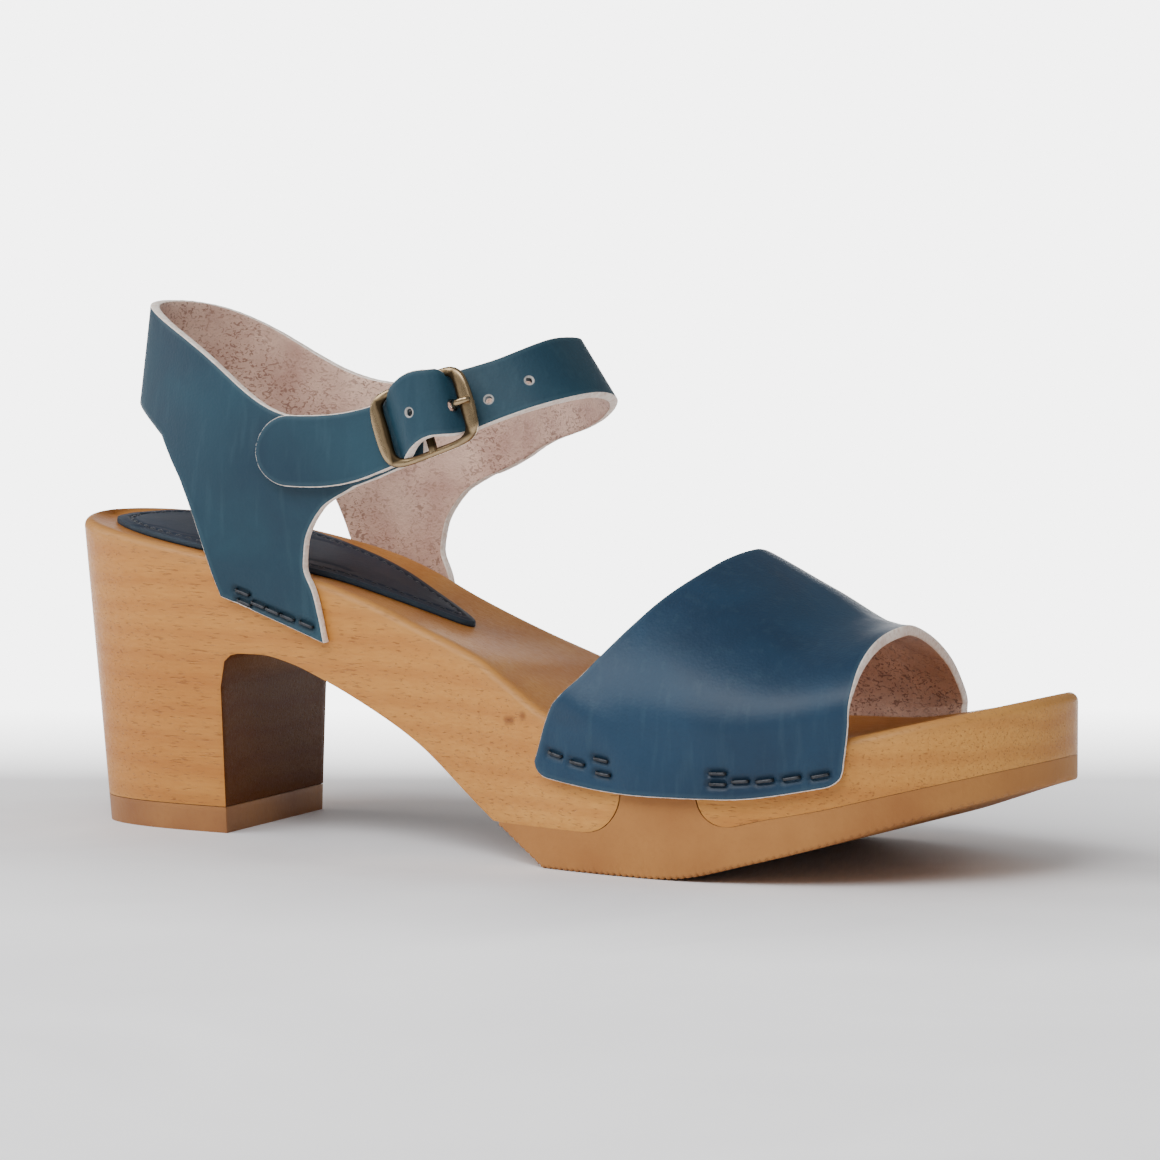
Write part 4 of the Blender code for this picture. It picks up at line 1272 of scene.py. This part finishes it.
def suede_look():
    """The flesh side: a pale nap with scattered dark fibres."""
    look = Look("flesh_side", Roughness=0.95, Sheen_Weight=0.25, Sheen_Roughness=0.6)
    cloud = look.noise(60, 4)
    fleck = look.noise(1, 4, (760, 760, 1150), warp=1.4)
    where = look.noise(55, 2)
    nap = look.noise(1500, 4)
    spots = look.times(look.range(fleck, 0.53, 0.60), look.range(where, 0.28, 0.52))
    colour = look.blend(look.range(cloud, 0.35, 0.65), SUEDE_DARK, SUEDE_LIGHT)
    colour = look.blend(look.times(spots, 0.75), colour, SUEDE_FLECK)
    colour = look.blend(look.range(nap, 0.45, 0.8, 0.0, 0.35), colour, SUEDE_DARK)
    look.set(Base_Color=colour)
    look.bump((nap, 0.00018), (fleck, 0.00012))
    return look.made


def raw_look():
    """The cut edges: pale fibre, stained here and there."""
    look = Look("raw_edge", Roughness=0.9)
    fibre = look.noise(1, 4, (900, 900, 1300))
    stain = look.noise(120, 3)
    colour = look.blend(look.range(fibre, 0.4, 0.75), RAW_EDGE, RAW_SHADE)
    colour = look.blend(look.range(stain, 0.55, 0.75, 0.0, 0.4), colour, SUEDE_DARK)
    look.set(Base_Color=colour)
    look.bump((fibre, 0.00015))
    return look.made


def brass_look():
    look = Look("aged_brass", Metallic=1.0)
    cloud = look.noise(260, 4)
    scratch = look.noise(1, 2, (300, 2500, 900))
    tarnish = look.range(look.plus(cloud, look.painted("recess")), 0.55, 1.25)
    colour = look.blend(tarnish, BRASS_BRIGHT, BRASS_DARK)
    look.set(Base_Color=colour, Roughness=look.range(tarnish, 0.0, 1.0, 0.26, 0.55))
    look.bump((cloud, 0.00006), (scratch, 0.00002))
    return look.made


def steel_look():
    look = Look("dark_steel", Metallic=0.9)
    cloud = look.noise(700, 3)
    look.set(Base_Color=look.blend(cloud, STEEL_DARK, STEEL_BRIGHT))
    look.set(Roughness=look.range(cloud, 0.3, 0.7, 0.25, 0.5))
    return look.made


def thread_look():
    look = Look("dark_thread", Roughness=0.7, Sheen_Weight=0.3)
    twist = look.noise(2500, 2)
    look.set(Base_Color=look.blend(twist, THREAD, SOCK_DEEP))
    look.bump((twist, 0.00005))
    return look.made


def tube(mesh, centres, sizes, fixed, closed=False, sides=14):
    """A bar through the centres; each size is across it and along the fixed direction."""
    centres = np.asarray(centres, float)
    count = len(centres)
    rows = []
    for i in range(count):
        before = centres[i - 1] if closed or i else centres[0]
        after = centres[(i + 1) % count] if closed or i < count - 1 else centres[-1]
        turning = np.cross(fixed, after - before)
        turning /= np.linalg.norm(turning)
        ring = []
        for k in range(sides):
            angle = 2 * math.pi * (k + 0.5) / sides
            across, up = (math.copysign(abs(v) ** SQUARENESS, v) for v in (math.cos(angle), math.sin(angle)))
            ring.append(centres[i] + turning * across * sizes[i][0] / 2 + fixed * up * sizes[i][1] / 2)
        rows.append(ring + ring[:1])
    if closed:
        rows.append(rows[0])
    mesh.grid(rows)
    if not closed:
        for end in (rows[0], rows[-1]):
            mesh.grid([end, [np.mean(end[:-1], axis=0)] * len(end)])


def sole_ribs(start, end, spacing):
    """Ribs at even distances along the sole between two places, then round its end."""
    return [sole_outline.rib_at(x) for x in between(start, end, max(round((end - start) / spacing), 1))]


def make_sole(look):
    mesh = Mesh()
    breast = sole_outline.rib_at(HEEL_BREAST)
    heel = between(0, breast, HEEL_RIBS)
    near_toe = WOOD_ROUND_TOE * LENGTH
    groove = [sole_outline.rib_at(x) for x in groove_stations()]
    front = sole_ribs(HEEL_BREAST, near_toe, RIB_SPACING)
    front = sorted({round(rib, 5) for rib in front + groove} | {breast})
    front += between(front[-1], sole_outline.last, TOE_RIBS)[1:]
    ribs = heel + front[1:]
    mesh.grid([footbed_row(rib) for rib in ribs])
    floor = LIFT + GAP / 2
    for side in SIDES:
        upper = [wall_column(rib, side, HEEL_SHOULDER, WALL_ROWS) for rib in heel]
        upper += [wall_column(rib, side, wood_bottom(rib), WALL_ROWS) for rib in front[1:]]
        mesh.grid(upper)
    mesh.grid([bottom_row(rib, HEEL_SHOULDER if rib == front[0] else wood_bottom(rib)) for rib in front])
    block_faces(mesh, heel, HEEL_SHOULDER, floor, HEEL_ROWS)
    mesh.grid([bottom_row(rib, floor) for rib in heel])
    piece = mesh.finish("wood_sole", [look], bevel=WOOD_BEVEL)
    points = points_of(piece)
    # The rounded rim, which the material pales as sanded wear and a painted highlight
    rims = [wall_column(rib, side, PLATFORM, 1)[RIM_STEPS // 2] for side in SIDES for rib in ribs]
    paint(piece, "rim", soft(distance(points, rims), RIM_TONE))
    # The footbed's top, which the material darkens as painted shade
    tops = np.array([footbed(x + HEEL_SETBACK, y) for x, y, z in points.tolist()])
    depths = tops - points[:, 2]
    paint(piece, "top", smoothstep(*TOP_SHADE_FADE, -depths))
    # Painted shade where the wood faces the toe or the floor, at the heel's breast and under the arch
    normals = np.array([vertex.normal for vertex in piece.data.vertices])
    under = smoothstep(*UNDER_FADE, np.maximum(normals[:, 0], -normals[:, 2]))
    under *= smoothstep(*UNDER_SHADE_FADE, points[:, 0])
    paint(piece, "under_shade", under * smoothstep(*UNDER_SHADE_DEPTH, depths))
    return piece


def rubber_rows(rib):
    """Heights and insets down the rubber's side to its toothed underside."""
    x = float(sole_outline.rows(rib)[0])
    top = rubber_top(x) + SEAM_FILL * GAP
    bottom = min(rubber_underside(x), top - RUBBER_EDGE)
    phase = (x / TOOTH_PITCH) % 1
    bottom += min(TOOTH, TOOTH_SHARE * (top - bottom)) * smoothstep(*TOOTH_FLANK, abs(phase - 0.5))
    rounding = min(RUBBER_CORNER, (top - bottom) / 2)
    levels = [(z, 0.0) for z in between(top, bottom + rounding, 4)[:-1]]
    for i in range(ROUND_STEPS + 1):
        angle = math.pi / 2 * i / ROUND_STEPS
        levels.append((bottom + rounding * (1 - math.sin(angle)), rounding * (1 - math.cos(angle))))
    return levels


def make_outsole(look):
    mesh = Mesh()
    start = rubber_start()
    near_toe = RUBBER_ROUND_TOE * LENGTH
    places = between(start, near_toe, round((near_toe - start) / TOOTH_PITCH * TOOTH_RIBS))
    ribs = sorted({round(sole_outline.rib_at(x), 5) for x in places + groove_stations()})
    ribs += between(ribs[-1], sole_outline.last, RUBBER_TOE_RIBS)[1:]
    mesh.grid([bottom_row(rib, *rubber_rows(rib)[0]) for rib in ribs])
    mesh.grid([bottom_row(rib, *rubber_rows(rib)[-1]) for rib in ribs])
    for side in SIDES:
        mesh.grid([[side_point(rib, side, *level) for level in rubber_rows(rib)] for rib in ribs])
    mesh.grid([bottom_row(ribs[0], *level) for level in rubber_rows(ribs[0])])
    return mesh.finish("rubber_sole", [look], sharp=50)


def make_lift(look):
    mesh = Mesh()
    ribs = between(0, sole_outline.rib_at(HEEL_BREAST), HEEL_RIBS)
    for height in (LIFT, 0.0):
        mesh.grid([bottom_row(rib, height) for rib in ribs])
    block_faces(mesh, ribs, LIFT, 0.0, LIFT_ROWS)
    return mesh.finish("rubber_lift", [look], bevel=LIFT_BEVEL)


sock_outline = Outline(SOCK_OUTLINE)


def sock_rim():
    rim = []
    for side in SIDES:
        for rib in between(0, sock_outline.last, RIM_POINTS):
            x, y = sock_outline.point(rib, side)[0]
            rim.append(world(x, y, footbed(x, y)))
    return rim


def make_sock(looks):
    shell = Shell()
    rim = sock_rim()
    shares = [0.5 - 0.5 * math.cos(math.pi * i / SOCK_ACROSS) for i in range(SOCK_ACROSS + 1)]

    def pair(rib, share):
        start, end = (sock_outline.point(rib, side)[0] for side in SIDES)
        x, y = mix(start, end, share)
        base = footbed(x, y)
        return np.array(world(x, y, base + GAP + SOCK * SOCK_RIM)), np.array(world(x, y, base + GAP / 2))

    shell.grid([[pair(rib, share) for share in shares] for rib in between(0, sock_outline.last, SOCK_ALONG)])

    def relief(points):
        away = distance(points, rim)
        plump = np.sqrt(1 - (1 - np.clip(away / SOCK_ROUND, 0, 1)) ** 2)
        height = SOCK * (1 - SOCK_RIM) * plump + SOCK_CROWN * smoothstep(*SOCK_CROWN_FADE, away)
        height -= SEAM_DEPTH * soft(away - SEAM_INSET, SEAM_WIDTH)
        for start, end, width, depth in SOCK_CREASES:
            wave = CREASE_WAVE * np.sin(points[:, 0] * CREASE_WAVES)
            bent = np.stack([points[:, 0], points[:, 1] + wave], axis=1)
            height -= depth * soft(from_line(bent, np.array(start), np.array(end)), width)
        return height

    piece = shell.finish("sock_pad", looks, relief)
    paint(piece, "rim", distance(points_of(piece), shell.border))
    off_seam = distance(points_of(piece), rim) - SEAM_INSET
    # The seam's groove: pressed leather darkened, with painted shade
    paint(piece, "pressed_shade", SEAM_SHADE * soft(off_seam, SEAM_DEPTH))
    return piece


def make_stitches(look):
    mesh = Mesh()
    for side in SIDES:
        line = []
        for rib in between(STITCH_ENDS[0], sock_outline.last - STITCH_ENDS[1], FINE):
            line.append(sock_outline.point(rib, side, SEAM_INSET)[0])
        line = np.array(line)
        reach = np.concatenate([[0], np.cumsum(np.linalg.norm(np.diff(line, axis=0), axis=1))])
        for start in np.arange(0, reach[-1] - STITCH, STITCH_PITCH):
            centres = []
            for share, lift, size in STITCH_SHAPE:
                x, y = (float(np.interp(start + share * STITCH, reach, line[:, i])) for i in (0, 1))
                centres.append(world(x, y, footbed(x, y) + GAP + SOCK - STITCH_SINK + lift * THREAD_SIZE))
            sizes = [(THREAD_SIZE * size,) * 2 for share, lift, size in STITCH_SHAPE]
            tube(mesh, centres, sizes, np.array([0.0, 0.0, 1.0]), sides=8)
    return mesh.finish("sock_stitches", [look], sharp=70)


def seat(surface, u, v, run):
    """A staple's place: its point, its direction in the surface and the way off it."""
    outer, inner = with_wall(surface, u, v)
    off = (outer - inner) / np.linalg.norm(outer - inner)
    run = run - np.dot(run, off) * off
    return outer, run / np.linalg.norm(run), off


def vamp_outer(around, along):
    return vamp_face(around, along, vamp_lower(min(max(along, 0), 1)))


def vamp_seats():
    seats = []
    for around, along in VAMP_STAPLES:
        for place in (around, 1 - around):
            run = vamp_outer(place, along + STAPLE_NEAR) - vamp_outer(place, along - STAPLE_NEAR)
            seats.append(seat(vamp_outer, place, along, run / np.linalg.norm(run)))
    return seats


def quarter_seats():
    """Both legs' staples; the inner leg mirrors the outer one in the rows of the path."""
    run = np.array(QUARTER_STAPLE_RUN)
    mirror = OUTER_LEG[0] + INNER_LEG[0]
    return [seat(quarter_surface, t, z, run) for row, z in QUARTER_STAPLES for t in (row, mirror - row)]


def staple_distance(points, seats):
    away = [from_line(points, at - STAPLE / 2 * run, at + STAPLE / 2 * run) for at, run, off in seats]
    return np.min(away, axis=0)


def staple_dents(points, seats):
    away = staple_distance(points, seats)
    return -SLOT_DEPTH * np.exp(-((away / SLOT_WIDTH) ** 4)) - DIMPLE_DEPTH * soft(away, DIMPLE_WIDTH)


def make_staples(name, seats, look):
    mesh = Mesh()
    for at, run, off in seats:
        path = [at + run * STAPLE / 2 * along + off * lift for along, lift in STAPLE_PATH]
        tube(mesh, path, [(WIRE_HIGH, WIRE_WIDE)] * len(path), np.cross(off, run), sides=10)
    return mesh.finish(name, [look], sharp=60)


def finish_leather(piece, shell, seats):
    points = points_of(piece)
    paint(piece, "rim", distance(points, shell.border))
    # The staples' slots: crushed leather darkened, with painted shade
    paint(piece, "pressed_shade", soft(staple_distance(points, seats), SLOT_WIDTH))


def make_vamp(looks, seats):
    shell = Shell()
    flank = (1 - FLANK_SHARE) / 2
    arounds = between(0, flank, FLANK_ROWS)[:-1] + between(flank, 1 - flank, VAMP_AROUND)
    arounds += between(1 - flank, 1, FLANK_ROWS)[1:]
    alongs = between(0, VAMP_RIM, VAMP_RIM_ROWS)[:-1] + between(VAMP_RIM, 1 - VAMP_RIM, VAMP_ALONG)
    alongs += between(1 - VAMP_RIM, 1, VAMP_RIM_ROWS)[1:]
    shell.grid([[vamp_pair(around, along) for around in arounds] for along in alongs])
    folds = [(vamp_outer(*start), vamp_outer(*end), width, rise) for start, end, width, rise in VAMP_FOLDS]

    def relief(points):
        height = uneven(points, *VAMP_WAVES) + staple_dents(points, seats)
        for start, end, width, rise in folds:
            height += rise * soft(from_line(points, start, end), width)
        return height

    piece = shell.finish("vamp_leather", looks, relief)
    finish_leather(piece, shell, seats)
    return piece


def strap_surface(t, z):
    """The quarter's face, spread a little over the buckle's upper rail."""
    point = quarter_surface(t, z)
    if t < TAIL_START - 3:
        return point
    low, high = path_rows(min(t, TAIL_START + 3))[4:6] * BACK_HEIGHT
    out = bulge(float(np.dot(point - BUCKLE_CENTRE, ALONG)))
    spread = COVER * smoothstep(*COVER_FADE, out / STRAP_BULGE) * smoothstep(low, high, z)
    return point + np.array([0.0, 0.0, spread])


def make_quarter(looks, seats):
    shell = Shell()
    legs = [between(*sorted(rows), LEG_ACROSS) for rows in (OUTER_LEG, INNER_LEG)]
    back = between(OUTER_LEG[1], INNER_LEG[1], BACK_STATIONS)
    buckle = between(TAIL_START - 3, TAIL_END - TAIL_ROWS, BUCKLE_STATIONS)
    stations = between(TAB_END, OUTER_LEG[0], TAB_STATIONS)[:-1] + legs[0] + back[1:-1] + legs[1]
    stations += between(INNER_LEG[0], buckle[0], STRAP_STATIONS)[1:] + buckle[1:]
    stations += [TAIL_END - TAIL_ROWS * (1 - i / TAIL_STATIONS) ** 2 for i in range(1, TAIL_STATIONS + 1)]

    def columns(t):
        low, high = band_edges(t)
        return [with_wall(strap_surface, t, z) for z in between(low, high, BAND_ROWS)]

    shell.grid([columns(t) for t in stations])
    for rows, turned in ((OUTER_LEG, False), (INNER_LEG, True)):
        grid = leg_grid(rows)
        if turned:
            grid = [list(reversed(row)) for row in grid]
        shell.grid([[with_wall(quarter_surface, t, z) for t, z in row] for row in grid])

    def relief(points):
        return uneven(points, *QUARTER_WAVES) + staple_dents(points, seats)

    piece = shell.finish("quarter_leather", looks, relief)
    cutter = Mesh()
    for t, z, radius in HOLES:
        outer, inner = with_wall(strap_surface, t, z)
        off = (outer - inner) / WALL
        ends = [outer + off * PUNCH_PLAY, inner - off * PUNCH_PLAY]
        tube(cutter, ends, [(2 * radius,) * 2] * 2, np.cross(off, (0.0, 0.0, 1.0)), sides=20)
    punch = cutter.finish("punch", looks, sharp=60)
    cut = piece.modifiers.new("holes", "BOOLEAN")
    cut.operation = "DIFFERENCE"
    cut.solver = "EXACT"
    cut.object = punch
    apply_modifiers(piece)
    bpy.data.objects.remove(punch)
    finish_leather(piece, shell, seats)
    return piece


def frame_loop():
    """Centres and section sizes round the frame, whose bars are bowed and widest in their middle."""
    half_length, half_width = (FRAME_LENGTH - BAR_WIDTH) / 2, (FRAME_WIDTH - RAIL_WIDTH) / 2
    turns = np.linspace(0, 2 * math.pi, LOOP_POINTS)
    corner = (np.sign(f(turns)) * np.abs(f(turns)) ** (2 / FRAME_SQUARENESS) for f in (np.cos, np.sin))
    path = np.stack([scale * values for scale, values in zip((half_length, half_width), corner)], axis=1)
    reach = np.concatenate([[0], np.cumsum(np.linalg.norm(np.diff(path, axis=0), axis=1))])
    centres, sizes = [], []
    for place in np.linspace(0, reach[-1], RING_STEPS + 1)[:-1]:
        along, across = (float(np.interp(place, reach, path[:, i])) for i in (0, 1))
        on_bar = smoothstep(*BAR_FADE, abs(along) / half_length)
        swell = 1 - BAR_TAPER * (across / half_width) ** 2
        thickness = mix(RAIL_THICKNESS, BAR_THICKNESS, on_bar)
        centres.append(on_buckle(along, across, thickness / 2))
        sizes.append((mix(RAIL_WIDTH, BAR_SWELL * swell, on_bar), thickness))
    return centres, sizes


def make_frame(look):
    mesh = Mesh()
    centres, sizes = frame_loop()
    tube(mesh, centres, sizes, OFF_STRAP, closed=True, sides=20)
    half_width = (FRAME_WIDTH - RAIL_WIDTH) / 2
    ends = [on_buckle(0.0, across, CENTRE_BAR / 2) for across in between(-half_width, half_width, 8)]
    tube(mesh, ends, [(CENTRE_BAR, CENTRE_BAR)] * len(ends), OFF_STRAP, sides=16)
    piece = mesh.finish("brass_frame", [look], sharp=60)
    away = points_of(piece) - BUCKLE_CENTRE
    inside = (FRAME_LENGTH - BAR_WIDTH) / 2 - np.abs(away @ ALONG)
    inside = np.minimum(inside, half_width - np.abs(away @ ACROSS_STRAP))
    paint(piece, "recess", smoothstep(0.0, BAR_WIDTH / 2, inside))
    return piece


def make_prong(look):
    """The prong comes up out of the strap's hole and hooks over the front bar."""
    mesh = Mesh()
    bar = (FRAME_LENGTH - BAR_WIDTH) / 2
    over_bar = BAR_THICKNESS + PRONG_SIZE / 2
    start = bulge(PRONG_START) - BUCKLE_LIFT
    steps = []
    for share, walls, sizes in PRONG_ROOTS:
        steps.append((PRONG_START + share * (bar - PRONG_START), start + walls * WALL + sizes * PRONG_SIZE))
    for share in between(0.3, 1.0, PRONG_STEPS):
        lift = mix(start + 0.5 * PRONG_SIZE, over_bar, smoothstep(0.0, PRONG_LEVEL, share))
        steps.append((mix(PRONG_START, bar, share), lift))
    steps += [(bar + BAR_WIDTH * share, over_bar - drop * PRONG_SIZE) for share, drop in PRONG_TIP]
    sizes = [(PRONG_SIZE * share,) * 2 for share in between(*PRONG_TAPER, len(steps) - 1)]
    sizes[-1] = (PRONG_SIZE / 2,) * 2
    centres = [on_buckle(along, 0.0, lift) for along, lift in steps]
    tube(mesh, centres, sizes, ACROSS_STRAP, sides=18)
    piece = mesh.finish("brass_prong", [look], sharp=70)
    paint(piece, "recess", np.zeros(len(piece.data.vertices)))
    return piece


def glow_share(look, way):
    """The share of the white backdrop seen one way, which fills the photograph's background."""
    side = look.node("VectorMath", {0: way, 1: BACKDROP_WAY}, 1, operation="DOT_PRODUCT")
    return look.range(side, *BACKDROP_REACH)


def make_floor():
    turns = between(0, 2 * math.pi, FLOOR_SIDES)
    mesh = Mesh()
    mesh.grid([[(TARGET[0] + r * math.cos(a), r * math.sin(a), 0.0) for a in turns] for r in FLOOR_RINGS])
    look = Look("pale_floor", Roughness=0.75)
    cloud = look.noise(9, 5, warp=1.5)
    look.set(Base_Color=look.blend(look.range(cloud, 0.3, 0.7), FLOOR_DARK, FLOOR_LIGHT))
    away = look.node("VectorMath", {0: look.place, 1: (*CAMERA[:2], 0.0)}, operation="SUBTRACT")
    depth = look.node("VectorMath", {0: away, 1: BACKDROP_WAY}, 1, operation="DOT_PRODUCT")
    way = look.node("VectorMath", {0: away}, operation="NORMALIZE")
    share = look.times(look.range(depth, *FLOOR_FADE), glow_share(look, way))
    glow = look.node("Emission", {"Color": (1, 1, 1), "Strength": BACKDROP})
    # Painted glow on the floor, fading out near the shoe into a painted shadow
    spread = look.node("VectorMath", {0: look.place, 1: (*TARGET[:2], 0.0)}, operation="SUBTRACT")
    spread = look.node("VectorMath", {0: spread, 1: FLOOR_SPREAD}, operation="MULTIPLY")
    reach = look.node("VectorMath", {0: spread}, 1, operation="LENGTH")
    look.set(Emission_Color=(1, 1, 1), Emission_Strength=look.range(reach, *FLOOR_GLOW_AND_SHADOW))
    mixed = look.node("MixShader", {0: share, 1: look.shader.outputs[0], 2: glow})
    look.feed(look.tree.nodes["Material Output"].inputs["Surface"], mixed)
    mesh.finish("floor", [look.made])


def make_light(name, place, size, power):
    data = bpy.data.lights.new(name, "AREA")
    data.shape = "RECTANGLE"
    data.size, data.size_y = size
    data.energy = power
    lamp = bpy.data.objects.new(name, data)
    lamp.location = place
    lamp.rotation_euler = (Vector(TARGET) - Vector(place)).to_track_quat("-Z", "Y").to_euler()
    bpy.context.collection.objects.link(lamp)


def make_studio():
    make_floor()
    for row in LIGHTS:
        make_light(*row)
    sky = Sky()
    share = sky.times(sky.range(sky.level, *SKY_FADE, 1.0, 0.0), glow_share(sky, sky.place))
    sky.feed(sky.shader.inputs["Strength"], sky.range(share, 0.0, 1.0, SKY_DIM, BACKDROP))
    bpy.context.scene.world = sky.made
    data = bpy.data.cameras.new("camera")
    data.lens = LENS
    data.sensor_width = SENSOR
    camera = bpy.data.objects.new("camera", data)
    camera.location = CAMERA
    camera.rotation_euler = Vector(SIGHT).to_track_quat("-Z", "Y").to_euler()
    bpy.context.collection.objects.link(camera)
    bpy.context.scene.camera = camera


def hand_over(piece, node=None):
    """Fixes a piece to the one body and hides the imported solid that it stands for."""
    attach(piece, "root")
    if node:
        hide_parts(node)


def main():
    free_holes = [(t, z) for t, z, radius in HOLES if radius == HOLE_RADIUS]
    holes = [with_wall(strap_surface, t, z)[0] for t, z in free_holes]
    vamp_leather = leather_look("petrol_leather", PETROL_DEEP, PETROL_LIGHT, 0.42, 0.10)
    strap_leather = leather_look("petrol_strap", STRAP_DEEP, STRAP_LIGHT, 0.50, 0.03, holes)
    sock_leather = leather_look("sock_leather", SOCK_DEEP, SOCK_LIGHT, 0.60, 0.0)
    suede, raw, steel, brass = suede_look(), raw_look(), steel_look(), brass_look()
    on_vamp, on_quarter = vamp_seats(), quarter_seats()
    sock = make_sock([sock_leather] * 3)
    rubber = rubber_look("tread_rubber", RUBBER_LIGHT, RUBBER_DEEP, 0.62)
    lift_rubber = rubber_look("lift_rubber", LIFT_LIGHT, LIFT_DEEP, 0.5)
    hand_over(make_sole(wood_look()), "sole_wood")
    hand_over(make_outsole(rubber), "outsole")
    hand_over(make_lift(lift_rubber), "heel_lift")
    hand_over(sock, "insole")
    hand_over(make_stitches(thread_look()))
    hand_over(make_vamp([vamp_leather, suede, raw], on_vamp), "vamp")
    hand_over(make_quarter([strap_leather, suede, raw], on_quarter), "quarter")
    hand_over(make_staples("vamp_staples", on_vamp, steel))
    hand_over(make_staples("quarter_staples", on_quarter, steel))
    hand_over(make_frame(brass), "buckle_frame")
    hand_over(make_prong(brass), "buckle_prong")
    make_studio()


main()
